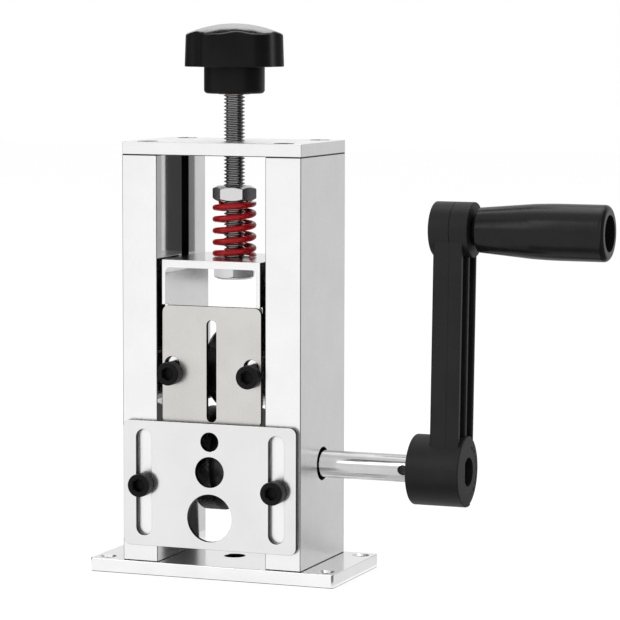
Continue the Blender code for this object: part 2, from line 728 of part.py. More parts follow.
def make_guide_plate(materials):
    half = OUTER_X - GUIDE_SIDE_INSET
    top_z = GUIDE_BOTTOM_Z + GUIDE_HEIGHT
    outline = rounded_rectangle((-half, GUIDE_BOTTOM_Z), (half, top_z), PLATE_CORNER_RADIUS)
    mesh = prism(outline, "Y", GUIDE_FRONT_Y, GUIDE_BACK_Y)
    plate = add_piece("guide_plate", mesh, materials["aluminium"])
    break_edges(plate, SHEET_EDGE_BREAK)

    start = GUIDE_FRONT_Y - CUT_OVERRUN
    end = GUIDE_BACK_Y + CUT_OVERRUN
    openings = []
    for radius, height in (
        (GUIDE_SMALL_RADIUS, GUIDE_SMALL_HEIGHT),
        (GUIDE_MEDIUM_RADIUS, GUIDE_MEDIUM_HEIGHT),
        (GUIDE_LARGE_RADIUS, GUIDE_LARGE_HEIGHT),
    ):
        centre = (GUIDE_HOLE_SHIFT, GUIDE_BOTTOM_Z + height)
        openings.append(rod(radius, start, end, "Y", FINE_SIDES, centre))
    for side in (-1, 1):
        slot = upright_slot((side * GUIDE_SCREW_X, GUIDE_SLOT_Z), GUIDE_SLOT_WIDTH, GUIDE_SLOT_LENGTH)
        openings.append(prism(slot, "Y", start, end))
    cut(plate, *openings)

    for name, side in (("left_guide_screw", -1), ("right_guide_screw", 1)):
        place = (side * GUIDE_SCREW_X, GUIDE_FRONT_Y - SEAT_GAP, GUIDE_SCREW_Z)
        length = GUIDE_THICKNESS + SEAT_GAP * 2 + CAP_ENGAGEMENT
        cap_screw(name, length, materials["black_oxide"], place)


# Drive shaft, feed roller and crank


def make_drive_shaft(crank_axis, materials):
    edge = SHAFT_EDGE_BREAK
    profile = [
        (0, SHAFT_START_X),
        (SHAFT_RADIUS - edge, SHAFT_START_X),
        (SHAFT_RADIUS, SHAFT_START_X + edge),
        (SHAFT_RADIUS, SHAFT_END_X - edge),
        (SHAFT_RADIUS - edge, SHAFT_END_X),
        (0, SHAFT_END_X),
    ]
    mesh = turned(profile, "X", FINE_SIDES)
    shaft = add_piece("drive_shaft", mesh, materials["bright_steel"], crank_axis)
    reach = SHAFT_RADIUS + CUT_OVERRUN
    cross_x = HUB_START_X - CROSS_HOLE_SETBACK
    cross_hole = rod(CROSS_HOLE_RADIUS, -reach, reach, "Y", SMALL_SIDES, (cross_x, 0))
    flat = block(
        (SHAFT_END_X - SHAFT_FLAT_LENGTH, SHAFT_RADIUS - SHAFT_FLAT_DEPTH, -reach),
        (SHAFT_END_X + CUT_OVERRUN, reach, reach),
    )
    cut(shaft, cross_hole, flat)


def make_feed_roller(crank_axis, materials):
    half = ROLLER_WIDTH / 2
    edge = ROLLER_EDGE_BREAK
    groove = ROLLER_GROOVE_WIDTH / 2
    groove_radius = ROLLER_RADIUS - ROLLER_GROOVE_DEPTH
    profile = [
        (BORE_RADIUS, -half),
        (ROLLER_RADIUS - edge, -half),
        (ROLLER_RADIUS, -half + edge),
        (ROLLER_RADIUS, -groove),
        (groove_radius, -groove),
        (groove_radius, groove),
        (ROLLER_RADIUS, groove),
        (ROLLER_RADIUS, half - edge),
        (ROLLER_RADIUS - edge, half),
        (BORE_RADIUS, half),
    ]
    mesh = turned(profile, "X", FINE_SIDES)
    roller = add_piece("feed_roller", mesh, materials["dark_steel"], crank_axis)
    screw_x = half * ROLLER_SCREW_SHARE
    hole_radius = ROLLER_SCREW_RADIUS + SEAT_GAP
    hole_end = ROLLER_RADIUS + CUT_OVERRUN
    cut(roller, rod(hole_radius, SHAFT_RADIUS, hole_end, "Y", SMALL_SIDES, (screw_x, 0)))

    start = BORE_RADIUS
    mesh = rod(ROLLER_SCREW_RADIUS, start, start + ROLLER_SCREW_LENGTH, "Y", SMALL_SIDES, (screw_x, 0))
    add_piece("roller_set_screw", mesh, materials["black_oxide"], crank_axis)

    for name, side in (("left_roller_spacer", -1), ("right_roller_spacer", 1)):
        ends = sorted((side * (half + SEAT_GAP), side * (INNER_X - SEAT_GAP)))
        mesh = tube(SPACER_RADIUS, BORE_RADIUS, *ends, "X", ROUND_SIDES, SHEET_EDGE_BREAK)
        add_piece(name, mesh, materials["bright_steel"], crank_axis)


def socket_outline():
    """The round socket, with a flat on its front side, that shows in the hub's outer face."""
    half_angle = pi - acos(SOCKET_FLAT_Y / SOCKET_RADIUS)
    return arc((0, 0), SOCKET_RADIUS, -half_angle, half_angle, SMALL_SIDES)


def make_crank_arm(crank_axis, materials):
    arm = add_piece(
        "crank_arm",
        block((ARM_INNER_X, -ARM_HALF_WIDTH, 0), (ARM_OUTER_X, ARM_HALF_WIDTH, CRANK_RADIUS)),
        materials["matte_black"],
        crank_axis,
        rotation=(-CRANK_TILT, 0, 0),
    )
    break_edges(arm, EDGE_BREAK)

    floor_x = ARM_OUTER_X - ARM_CHANNEL_DEPTH
    channels = []
    for side in (-1, 1):
        y = sorted((side * ARM_RIB / 2, side * (ARM_HALF_WIDTH - ARM_FLANGE)))
        low = (floor_x, y[0], LOWER_HUB_RADIUS / 2)
        high = (ARM_OUTER_X + CUT_OVERRUN, y[1], CRANK_RADIUS - UPPER_HUB_RADIUS / 2)
        channels.append(block(low, high))
    cut(arm, *channels)

    edge = HUB_EDGE_BREAK
    for radius, start, end, z in (
        (LOWER_HUB_RADIUS, HUB_START_X, HUB_END_X, 0),
        (UPPER_HUB_RADIUS, UPPER_HUB_START_X, UPPER_HUB_END_X, CRANK_RADIUS),
    ):
        profile = [
            (0, start),
            (radius - edge, start),
            (radius, start + edge),
            (radius, end - edge),
            (radius - edge, end),
            (0, end),
        ]
        add_to(arm, turned(profile, "X", FINE_SIDES, (0, z)))

    shaft_bore = rod(BORE_RADIUS, HUB_START_X - CUT_OVERRUN, HUB_BORE_END_X, "X", FINE_SIDES)
    cut(arm, shaft_bore)
    cut(arm, prism(socket_outline(), "X", HUB_BORE_END_X - CUT_OVERRUN, HUB_END_X + CUT_OVERRUN))
    cut(arm, hub_step())

    bore = (SPINDLE_BORE_RADIUS, SPINDLE_START_X - SEAT_GAP, UPPER_HUB_END_X + CUT_OVERRUN)
    cut(arm, rod(*bore, "X", SMALL_SIDES, (0, CRANK_RADIUS)))

    screw_x = SHAFT_END_X - SHAFT_FLAT_LENGTH / 2
    screw_hole = CRANK_SCREW_RADIUS + SEAT_GAP
    cut(arm, rod(screw_hole, 0, LOWER_HUB_RADIUS + CUT_OVERRUN, "Y", SMALL_SIDES, (screw_x, 0)))
    start = SHAFT_RADIUS - SHAFT_FLAT_DEPTH + SEAT_GAP * 2
    mesh = rod(CRANK_SCREW_RADIUS, start, start + CRANK_SCREW_LENGTH, "Y", SMALL_SIDES, (screw_x, 0))
    add_piece("crank_set_screw", mesh, materials["black_oxide"], arm)
    return arm


def hub_step():
    """The lower level of the hub's outer face: its back part, outside a disc round the socket."""
    half_angle = acos(HUB_STEP_Y / HUB_STEP_RADIUS)
    reach = LOWER_HUB_RADIUS + CUT_OVERRUN
    outline = [(HUB_STEP_Y, -reach)]
    outline += arc((0, 0), HUB_STEP_RADIUS, -half_angle, half_angle, ROUND_SIDES // 2)
    outline += [(HUB_STEP_Y, reach), (reach, reach), (reach, -reach)]
    return prism(outline, "X", HUB_END_X - HUB_STEP_DEPTH, HUB_END_X + CUT_OVERRUN)


def grip_profile():
    """Radius and place of the grip's outside, from the crank to its free end."""
    waist_x = GRIP_START_X + GRIP_LENGTH * GRIP_WAIST_SHARE
    belly_x = GRIP_START_X + GRIP_LENGTH * GRIP_BELLY_SHARE
    start_x = GRIP_START_X + GRIP_INNER_ROUND
    points = [
        (GRIP_NECK_RADIUS - GRIP_INNER_ROUND, GRIP_START_X),
        (GRIP_NECK_RADIUS, start_x),
        (GRIP_WAIST_RADIUS, waist_x),
        (GRIP_RADIUS, belly_x),
    ]
    round_x = GRIP_END_X - GRIP_END_ROUND
    round_centre = (round_x, GRIP_RADIUS - GRIP_END_ROUND)
    for along, out in arc(round_centre, GRIP_END_ROUND, pi / 2, 0, CORNER_STEPS):
        points.append((out, along))
    return points


def make_grip(arm, materials):
    place = (0, 0, CRANK_RADIUS)
    axis = add_axis("grip_axis", place, arm)
    outside = grip_profile()
    floor = [(GRIP_RECESS_RADIUS, GRIP_END_X), (GRIP_RECESS_RADIUS, GRIP_FLOOR_X)]
    bore = [(SPINDLE_BORE_RADIUS, GRIP_FLOOR_X), (SPINDLE_BORE_RADIUS, GRIP_START_X)]
    mesh = turned(outside + floor + bore, "X", FINE_SIDES)
    add_piece("grip", mesh, materials["gloss_black"], axis)

    neck_start = UPPER_HUB_END_X + SEAT_GAP
    neck_end = GRIP_START_X - SEAT_GAP
    head_start = GRIP_FLOOR_X + SEAT_GAP
    head_end = head_start + SPINDLE_HEAD_HEIGHT
    profile = [
        (0, SPINDLE_START_X),
        (SPINDLE_RADIUS, SPINDLE_START_X),
        (SPINDLE_RADIUS, neck_start),
        (SPINDLE_NECK_RADIUS, neck_start),
        (SPINDLE_NECK_RADIUS, neck_end),
        (SPINDLE_RADIUS, neck_end),
        (SPINDLE_RADIUS, head_start),
        (SPINDLE_HEAD_RADIUS, head_start),
        (SPINDLE_HEAD_RADIUS, head_end),
        (0, head_end),
    ]
    mesh = turned(profile, "X", FINE_SIDES // 2)
    spindle = add_piece("grip_spindle", mesh, materials["black_oxide"], arm, place)
    socket = hexagon(SPINDLE_SOCKET_WIDTH)
    cut(spindle, prism(socket, "X", head_end - SPINDLE_SOCKET_DEPTH, head_end + CUT_OVERRUN))


def make_crank(materials):
    crank_axis = add_axis("crank_axis", (0, 0, SHAFT_Z))
    make_drive_shaft(crank_axis, materials)
    make_feed_roller(crank_axis, materials)
    arm = make_crank_arm(crank_axis, materials)
    make_grip(arm, materials)


# Blade


def make_blade(carriage, materials):
    axis = add_axis("blade_axis", (0, 0, BLADE_Z), carriage)
    half = BLADE_THICKNESS / 2
    edge_half = half * BLADE_FLAT_SHARE
    bevel_radius = BLADE_RADIUS - BLADE_BEVEL_DEPTH
    profile = [
        (BLADE_BORE_RADIUS, -half),
        (bevel_radius, -half),
        (BLADE_RADIUS, -edge_half),
        (BLADE_RADIUS, edge_half),
        (bevel_radius, half),
        (BLADE_BORE_RADIUS, half),
    ]
    add_piece("blade_disc", turned(profile, "X", FINE_SIDES), materials["dark_steel"], axis)

    for name, side in (("left_blade_collar", -1), ("right_blade_collar", 1)):
        inner = half + SEAT_GAP
        profile = [
            (BLADE_BORE_RADIUS, inner),
            (COLLAR_RADIUS, inner),
            (COLLAR_RADIUS, COLLAR_HALF_WIDTH - COLLAR_CHAMFER),
            (COLLAR_RADIUS - COLLAR_CHAMFER, COLLAR_HALF_WIDTH),
            (BLADE_BORE_RADIUS, COLLAR_HALF_WIDTH),
        ]
        mesh = turned([(r, side * x) for r, x in profile], "X", FINE_SIDES)
        add_piece(name, mesh, materials["dark_steel"], axis)

    bush_ends = (-COLLAR_HALF_WIDTH, COLLAR_HALF_WIDTH)
    mesh = tube(BLADE_BUSH_RADIUS, AXLE_BORE_RADIUS, *bush_ends, "X", ROUND_SIDES)
    add_piece("blade_bush", mesh, materials["bronze"], axis)


# Carriage


def make_bracket(carriage, materials):
    """The inverted-U bracket: a web with two thin legs, stepped back behind the sight plate."""
    legs_bottom = CHEEK_TOP_Z + SEAT_GAP
    inner_radius = BRACKET_BEND_RADIUS
    outer = [(-BRACKET_X, WEB_TOP_Z), (-BRACKET_X, legs_bottom), (-LEG_INNER_X, legs_bottom)]
    bend_x = LEG_INNER_X - inner_radius
    bend_z = WEB_BOTTOM_Z - inner_radius
    left_bend = arc((-bend_x, bend_z), inner_radius, pi, pi / 2, CORNER_STEPS)
    right_bend = arc((bend_x, bend_z), inner_radius, pi / 2, 0, CORNER_STEPS)
    ends = [(LEG_INNER_X, legs_bottom), (BRACKET_X, legs_bottom), (BRACKET_X, WEB_TOP_Z)]
    outline = outer + left_bend + right_bend + ends
    mesh = prism(outline, "Y", FRONT_Y, BRACKET_BACK_Y)
    bracket = add_piece("carriage_bracket", mesh, materials["aluminium"], carriage)
    break_edges(bracket, SHEET_EDGE_BREAK)

    wide = BRACKET_X + CUT_OVERRUN
    seat = block(
        (-wide, FRONT_Y - CUT_OVERRUN, legs_bottom - CUT_OVERRUN),
        (wide, CHEEK_FRONT_Y, SIGHT_TOP_Z + SEAT_GAP),
    )
    screw_hole = rod(
        SCREW_HOLE_RADIUS, WEB_BOTTOM_Z - CUT_OVERRUN, WEB_TOP_Z + CUT_OVERRUN, "Z", ROUND_SIDES
    )
    cut(bracket, seat, screw_hole, *key_screw_holes(-1), *key_screw_holes(1))


def key_screw_places(side):
    """Where the key screws' heads lie, on the keys' outer faces."""
    x = side * (KEY_OUTER_X - HEAD_RIM)
    return [(x, KEY_GROOVE_Y, KEY_MIDDLE_Z + step * KEY_SCREW_PITCH / 2) for step in (-1, 1)]


def key_screw_length():
    return KEY_OUTER_X - HEAD_RIM - EAR_INNER_X


def key_screw_holes(side):
    sizes = (KEY_SCREW_RADIUS, KEY_SCREW_HEAD_RADIUS, key_screw_length() + CUT_OVERRUN, HEAD_RIM)
    places = key_screw_places(side)
    return [flat_screw_hole(*sizes, "X", side * KEY_OUTER_X, side, (y, z)) for _, y, z in places]


def make_cheek(name, side, carriage, materials):
    """A side block that holds the blade's axle, with an ear that laps the bracket's leg."""
    x = sorted((side * CHEEK_INNER_X, side * BRACKET_X))
    mesh = block((x[0], CHEEK_FRONT_Y, CHEEK_BOTTOM_Z), (x[1], BRACKET_BACK_Y, CHEEK_TOP_Z))
    cheek = add_piece(name, mesh, materials["aluminium"], carriage)
    break_edges(cheek, EDGE_BREAK)
    ear_x = sorted((side * EAR_INNER_X, side * EAR_OUTER_X))
    ear_front = CHEEK_FRONT_Y + EDGE_BREAK
    ear_low = (ear_x[0], ear_front, CHEEK_TOP_Z - EDGE_BREAK * 2)
    add_to(cheek, block(ear_low, (ear_x[1], EAR_BACK_Y, EAR_TOP_Z)))

    axle_bore = rod(
        AXLE_BORE_RADIUS, x[0] - CUT_OVERRUN, x[1] + CUT_OVERRUN, "X", ROUND_SIDES, (0, BLADE_Z)
    )
    thread_radius = CAP_SHANK_RADIUS + SEAT_GAP
    thread_end = CHEEK_FRONT_Y + CAP_ENGAGEMENT
    centre = (side * SIGHT_SCREW_X, SIGHT_SCREW_Z)
    thread = rod(thread_radius, CHEEK_FRONT_Y - CUT_OVERRUN, thread_end, "Y", SMALL_SIDES, centre)
    cut(cheek, axle_bore, thread, *key_screw_holes(side))
    screw_x = side * axle_screw_x()
    hole = AXLE_SCREW_RADIUS + SEAT_GAP
    cut(cheek, rod(hole, BLADE_Z, CHEEK_TOP_Z + CUT_OVERRUN, "Z", SMALL_SIDES, (screw_x, 0)))


def axle_screw_x():
    return (CHEEK_INNER_X + EAR_INNER_X) / 2


def make_keys(carriage, materials):
    black = materials["black_oxide"]
    sizes = (KEY_SCREW_RADIUS, KEY_SCREW_HEAD_RADIUS, key_screw_length())
    data = flat_screw_data("key_screw", *sizes, black)
    half = KEY_GROOVE_WIDTH / 2 - KEY_SIDE_GAP
    for name, side in (("left", -1), ("right", 1)):
        x = sorted((side * KEY_INNER_X, side * KEY_OUTER_X))
        low = (x[0], KEY_GROOVE_Y - half, KEY_BOTTOM_Z)
        high = (x[1], KEY_GROOVE_Y + half, KEY_BOTTOM_Z + KEY_HEIGHT)
        key = add_piece(f"{name}_guide_key", block(low, high), materials["bronze"], carriage)
        break_edges(key, SHEET_EDGE_BREAK)
        cut(key, *key_screw_holes(side))
        for number, place in enumerate(key_screw_places(side), 1):
            turn = (0, side * pi / 2, 0)
            place_piece(f"{name}_key_screw_{number}", data, black, carriage, place, turn)


def make_carriage(carriage, materials):
    make_bracket(carriage, materials)
    make_keys(carriage, materials)
    for name, side in (("left", -1), ("right", 1)):
        make_cheek(f"{name}_cheek", side, carriage, materials)
        start = BLADE_Z + AXLE_RADIUS + SEAT_GAP
        centre = (side * axle_screw_x(), 0)
        mesh = rod(AXLE_SCREW_RADIUS, start, start + AXLE_SCREW_LENGTH, "Z", SMALL_SIDES, centre)
        add_piece(f"{name}_axle_screw", mesh, materials["black_oxide"], carriage)
    end_x = BRACKET_X - EDGE_BREAK
    edge = SHEET_EDGE_BREAK
    profile = [(0, -end_x), (AXLE_RADIUS - edge, -end_x), (AXLE_RADIUS, -end_x + edge)]
    profile += [(AXLE_RADIUS, end_x - edge), (AXLE_RADIUS - edge, end_x), (0, end_x)]
    mesh = turned(profile, "X", ROUND_SIDES, (0, BLADE_Z))
    add_piece("blade_axle", mesh, materials["bright_steel"], carriage)


def make_sight_plate(carriage, materials):
    half = BRACKET_X + SIGHT_SIDE_OVERHANG
    bottom_z = SIGHT_TOP_Z - SIGHT_HEIGHT
    outline = rounded_rectangle((-half, bottom_z), (half, SIGHT_TOP_Z), PLATE_CORNER_RADIUS)
    mesh = prism(outline, "Y", SIGHT_FRONT_Y, SIGHT_BACK_Y)
    plate = add_piece("sight_plate", mesh, materials["steel_sheet"], carriage)
    break_edges(plate, SHEET_EDGE_BREAK)

    start = SIGHT_FRONT_Y - CUT_OVERRUN
    end = SIGHT_BACK_Y + CUT_OVERRUN
    slot_z = SIGHT_TOP_Z - SIGHT_SLOT_TOP_MARGIN - SIGHT_SLOT_LENGTH / 2
    openings = [prism(upright_slot((0, slot_z), SIGHT_SLOT_WIDTH, SIGHT_SLOT_LENGTH), "Y", start, end)]
    side_length = SIGHT_SIDE_SLOT_WIDTH + SIGHT_SIDE_SLOT_TRAVEL
    side_z = SIGHT_SCREW_Z + SIGHT_SIDE_SLOT_TRAVEL / 2
    for side in (-1, 1):
        slot = upright_slot((side * SIGHT_SCREW_X, side_z), SIGHT_SIDE_SLOT_WIDTH, side_length)
        openings.append(prism(slot, "Y", start, end))
    cut(plate, *openings)

    for name, side in (("left_sight_screw", -1), ("right_sight_screw", 1)):
        place = (side * SIGHT_SCREW_X, SIGHT_FRONT_Y - SEAT_GAP, SIGHT_SCREW_Z)
        length = SIGHT_THICKNESS + SEAT_GAP + CAP_ENGAGEMENT
        cap_screw(name, length, materials["black_oxide"], place)


# Pressure screw, nut, spring and knob


def hex_piece(name, across_flats, bottom, height, turn, both_ends, material, parent):
    """A hexagon whose corners are chamfered below, and above too for a nut."""
    mesh = prism(hexagon(across_flats, turn), "Z", bottom, bottom + height)
    piece = add_piece(name, mesh, material, parent)
    corner = across_flats / 2 / cos(pi / 6)
    flat = across_flats / 2 * (1 - SHEET_EDGE_BREAK / HEAD_HEIGHT)
    drop = (corner - flat) * HEX_CHAMFER_SLOPE_SHARE
    top = bottom + height
    profile = [(0, bottom), (flat, bottom), (corner, bottom + drop)]
    if both_ends:
        profile += [(corner, top - drop), (flat, top), (0, top)]
    else:
        profile += [(corner, top + CUT_OVERRUN), (0, top + CUT_OVERRUN)]
    return combine(piece, turned(profile, "Z", FINE_SIDES), "INTERSECT")


def make_pressure_screw(spindle, materials):
    steel = materials["bright_steel"]
    bottom = HEAD_TOP_Z - HEAD_HEIGHT
    head = (HEAD_ACROSS_FLATS, bottom, HEAD_HEIGHT, HEAD_TURN, False)
    screw = hex_piece("pressure_screw", *head, steel, spindle)
    edge = SCREW_EDGE_BREAK
    profile = [
        (0, bottom + HEAD_HEIGHT / 2),
        (SCREW_RADIUS, bottom + HEAD_HEIGHT / 2),
        (SCREW_RADIUS, SCREW_TOP_Z - edge),
        (SCREW_RADIUS - edge, SCREW_TOP_Z),
        (0, SCREW_TOP_Z),
    ]
    add_to(screw, turned(profile, "Z", ROUND_SIDES))

    nut = (NUT_ACROSS_FLATS, NUT_BOTTOM_Z, NUT_HEIGHT, NUT_TURN, True)
    nut = hex_piece("spring_nut", *nut, steel, spindle)
    bore = SCREW_RADIUS + SEAT_GAP
    start = NUT_BOTTOM_Z - CUT_OVERRUN
    cut(nut, rod(bore, start, NUT_BOTTOM_Z + NUT_HEIGHT + CUT_OVERRUN, "Z", ROUND_SIDES))


def spring_rise_share(turn):
    """How far the wire has risen after some turns. The pitch eases in and out at the ends."""
    closing = SPRING_CLOSING_TURNS
    whole = SPRING_TURNS - closing
    if turn < closing:
        risen = turn * turn / (2 * closing)
    elif turn > SPRING_TURNS - closing:
        left = SPRING_TURNS - turn
        risen = whole - left * left / (2 * closing)
    else:
        risen = turn - closing / 2
    return risen / whole


def spring_points():
    """The wire's centre line: even turns between two closing ends, with straight tips."""
    mean_radius = SPRING_OUTER_RADIUS - WIRE_RADIUS
    low = SPRING_BOTTOM_Z + WIRE_RADIUS - SPRING_GROUND_DEPTH
    high = SPRING_TOP_Z - WIRE_RADIUS + SPRING_GROUND_DEPTH
    steps = round(SPRING_TURNS * SPRING_POINTS_PER_TURN)
    points = []
    for i in range(steps + 1):
        turn = SPRING_TURNS * i / steps
        angle = SPRING_START_ANGLE + 2 * pi * turn
        height = low + (high - low) * spring_rise_share(turn)
        points.append(Vector((mean_radius * cos(angle), mean_radius * sin(angle), height)))
    start_angle = SPRING_START_ANGLE
    end_angle = SPRING_START_ANGLE + 2 * pi * SPRING_TURNS
    tip = 2 * WIRE_RADIUS
    first = points[0] + tip * Vector((sin(start_angle), -cos(start_angle), 0))
    last = points[-1] + tip * Vector((-sin(end_angle), cos(end_angle), 0))
    return [first] + points + [last]


def least_spring_gap(points):
    """The least gap of the wire to itself, between pieces at least half a turn apart."""
    apart = SPRING_POINTS_PER_TURN // 2
    middles = [(a + b) / 2 for a, b in zip(points, points[1:])]
    along = [place for pair in zip(points, middles) for place in pair]
    pairs = ((a, b) for i, a in enumerate(along) for b in along[i + 2 * apart :])
    return min((a - b).length for a, b in pairs) - 2 * WIRE_RADIUS


def swept_wire(points, radius, sides):
    mesh = bmesh.new()
    rings = []
    last = len(points) - 1
    for i, point in enumerate(points):
        along = (points[min(i + 1, last)] - points[max(i - 1, 0)]).normalized()
        across = along.cross(Vector((0, 0, 1))).normalized()
        upward = across.cross(along)
        ring = []
        for a, b in circle((0, 0), radius, sides):
            ring.append(mesh.verts.new(point + across * a + upward * b))
        rings.append(ring)
    for first, second in zip(rings, rings[1:]):
        for i in range(sides):
            j = (i + 1) % sides
            mesh.faces.new((first[i], first[j], second[j], second[i]))
    mesh.faces.new(rings[0])
    mesh.faces.new(rings[-1])
    bmesh.ops.recalc_face_normals(mesh, faces=mesh.faces)
    return mesh


def make_spring(slide, materials):
    points = spring_points()
    print(f"spring: least gap to itself {least_spring_gap(points) * 1000:.2f} mm")
    mesh = swept_wire(points, WIRE_RADIUS, WIRE_SIDES)
    spring = add_piece("pressure_spring", mesh, materials["red_paint"], slide)
    reach = SPRING_OUTER_RADIUS + 2 * WIRE_RADIUS
    ground = rod(reach, SPRING_BOTTOM_Z, SPRING_TOP_Z, "Z", SMALL_SIDES)
    combine(spring, ground, "INTERSECT")


def knob_outline(radius, depth):
    points = []
    for i in range(KNOB_SIDES):
        angle = 2 * pi * i / KNOB_SIDES
        valley = (1 - cos(KNOB_LOBES * angle)) / 2
        out = radius - depth * (1 - valley) ** KNOB_SCALLOP_SHARPNESS
        turned_angle = angle + KNOB_TURN
        points.append((out * cos(turned_angle), out * sin(turned_angle)))
    return points


def make_knob(spindle, materials):
    """The star knob: a plain collar, a scalloped skirt and a shallow dome."""
    shoulder_z = SKIRT_BOTTOM_Z + KNOB_SKIRT_HEIGHT
    dome_top = shoulder_z + KNOB_DOME_RISE
    fillet = KNOB_COLLAR_FILLET
    base = KNOB_RADIUS + KNOB_DRAFT
    rings = []
    bore_radius = INSERT_RADIUS + SEAT_GAP
    bore_top = KNOB_BOTTOM_Z + INSERT_HEIGHT + SEAT_GAP
    rings.append((bore_radius, 0, bore_top))
    rings.append((bore_radius, 0, KNOB_BOTTOM_Z))
    fillet_centre = (KNOB_COLLAR_RADIUS - fillet, KNOB_BOTTOM_Z + fillet)
    for along, z in arc(fillet_centre, fillet, -pi / 2, 0, CORNER_STEPS // 2):
        rings.append((along, 0, z))
    rings.append((KNOB_COLLAR_RADIUS, 0, SKIRT_BOTTOM_Z))
    edge = EDGE_BREAK
    rings.append((base - edge, KNOB_SCALLOP_DEPTH, SKIRT_BOTTOM_Z))
    rings.append((base, KNOB_SCALLOP_DEPTH, SKIRT_BOTTOM_Z + edge))
    rings.append((KNOB_RADIUS - KNOB_DRAFT, KNOB_SCALLOP_DEPTH, shoulder_z - KNOB_SHOULDER))
    shoulder_radius = KNOB_RADIUS - KNOB_DRAFT - KNOB_SHOULDER
    dome_steps = CORNER_STEPS
    for i in range(dome_steps):
        share = i / dome_steps
        radius = shoulder_radius * (1 - share)
        height = KNOB_DOME_RISE * (1 - (1 - share) ** 2)
        rings.append((radius, KNOB_SCALLOP_DEPTH * (1 - share) ** 2, shoulder_z + height))

    mesh = bmesh.new()
    loops = []
    for radius, depth, z in rings:
        loops.append([mesh.verts.new((x, y, z)) for x, y in knob_outline(radius, depth)])
    for first, second in zip(loops, loops[1:]):
        for i in range(KNOB_SIDES):
            j = (i + 1) % KNOB_SIDES
            mesh.faces.new((first[i], first[j], second[j], second[i]))
    crown = mesh.verts.new((0, 0, dome_top))
    for i in range(KNOB_SIDES):
        mesh.faces.new((loops[-1][i], loops[-1][(i + 1) % KNOB_SIDES], crown))
    mesh.faces.new(loops[0])
    bmesh.ops.recalc_face_normals(mesh, faces=mesh.faces)
    add_piece("knob", mesh, materials["gloss_black"], spindle)

    top = KNOB_BOTTOM_Z + INSERT_HEIGHT
    start = KNOB_BOTTOM_Z - INSERT_STANDOUT
    bore = SCREW_RADIUS + SEAT_GAP
    mesh = tube(INSERT_RADIUS, bore, start, top, "Z", ROUND_SIDES)
    add_piece("knob_insert", mesh, materials["brass"], spindle)


def main():
    remove_old_objects()
    materials = make_materials()
    make_frame(materials)
    make_guide_plate(materials)
    make_crank(materials)
    slide = add_axis("screw_slide", (0, 0, 0))
    spindle = add_axis("spindle_axis", (0, 0, 0), slide)
    carriage = add_axis("carriage_slide", (0, 0, 0), slide)
    make_pressure_screw(spindle, materials)
    make_knob(spindle, materials)
    make_spring(slide, materials)
    make_carriage(carriage, materials)
    make_blade(carriage, materials)
    make_sight_plate(carriage, materials)


main()
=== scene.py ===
"""Looks of the drill-powered wire stripper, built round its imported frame. Metres, +Z up."""

import json
from math import acos, cos, pi, radians, sin, tan

import bmesh
import bpy
from mathutils import Matrix, Vector


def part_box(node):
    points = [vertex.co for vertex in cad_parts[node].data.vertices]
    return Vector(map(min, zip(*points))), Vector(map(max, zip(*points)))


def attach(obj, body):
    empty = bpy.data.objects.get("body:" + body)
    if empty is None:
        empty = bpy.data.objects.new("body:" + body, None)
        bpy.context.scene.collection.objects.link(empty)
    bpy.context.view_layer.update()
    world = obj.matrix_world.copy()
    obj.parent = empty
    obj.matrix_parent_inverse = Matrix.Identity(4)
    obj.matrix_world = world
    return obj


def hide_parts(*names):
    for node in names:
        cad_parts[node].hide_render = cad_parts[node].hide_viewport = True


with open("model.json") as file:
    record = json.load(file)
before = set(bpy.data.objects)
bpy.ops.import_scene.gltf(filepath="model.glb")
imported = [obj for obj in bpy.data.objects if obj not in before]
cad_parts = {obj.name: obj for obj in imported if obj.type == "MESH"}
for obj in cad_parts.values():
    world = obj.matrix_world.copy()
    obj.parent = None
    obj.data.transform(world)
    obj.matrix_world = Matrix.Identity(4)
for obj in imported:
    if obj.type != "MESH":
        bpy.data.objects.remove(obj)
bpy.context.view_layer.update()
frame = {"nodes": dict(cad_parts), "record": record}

# Camera, as the photograph was taken
CAMERA_PLACE = Vector((0.47754, -1.14774, 0.2312))
CAMERA_TARGET = Vector((0.02969, 0.01147, 0.11065))
CAMERA_ROLL = radians(0.117)
CAMERA_LENS = 171.9
CAMERA_SENSOR = 36.0

# Stage
FLOOR_HALF = 4.0
FLOOR_COLOUR = (0.92, 0.92, 0.92, 1.0)
FLOOR_GLOW_SHARE = 0.75
FLOOR_GLOW = 1.1
WORLD_STRENGTH = 0.72
WHITE = (1.0, 1.0, 1.0, 1.0)
FLAG_INNER = 0.064
FLAG_RADIUS = 1.1
FLAG_HEIGHT = 1.3
FLAG_LIFT = 0.0005
FLAG_STEPS = 12
CANOPY_RADIUS = 0.15
CANOPY_BEARINGS = (165, 240)

# Sweeps of grey card: name, bearings from the front round to the crank side, tone
SWEEPS = (
    ("sweep_right", 62, 134, 0.17),
    ("sweep_left", -150, -78, 0.14),
    ("sweep_back_right", 134, 180, 0.68),
    ("sweep_back", 180, 225, 0.85),
)

# Upright cards: name, y, left, right, bottom, top, tone
STRIPS = (
    ("strip_lower", 0.150, 0.0328, 0.0520, 0.001, 0.060, 0.03),
    ("strip_upper_left", 0.150, 0.0342, 0.0374, 0.1085, 0.178, 0.20),
    ("strip_upper", 0.150, 0.0374, 0.0501, 0.1085, 0.178, 0.05),
    ("strip_upper_right", 0.150, 0.0520, 0.0550, 0.1085, 0.178, 0.40),
    ("strip_front", -0.300, -0.300, -0.075, 0.282, 0.612, 0.04),
)

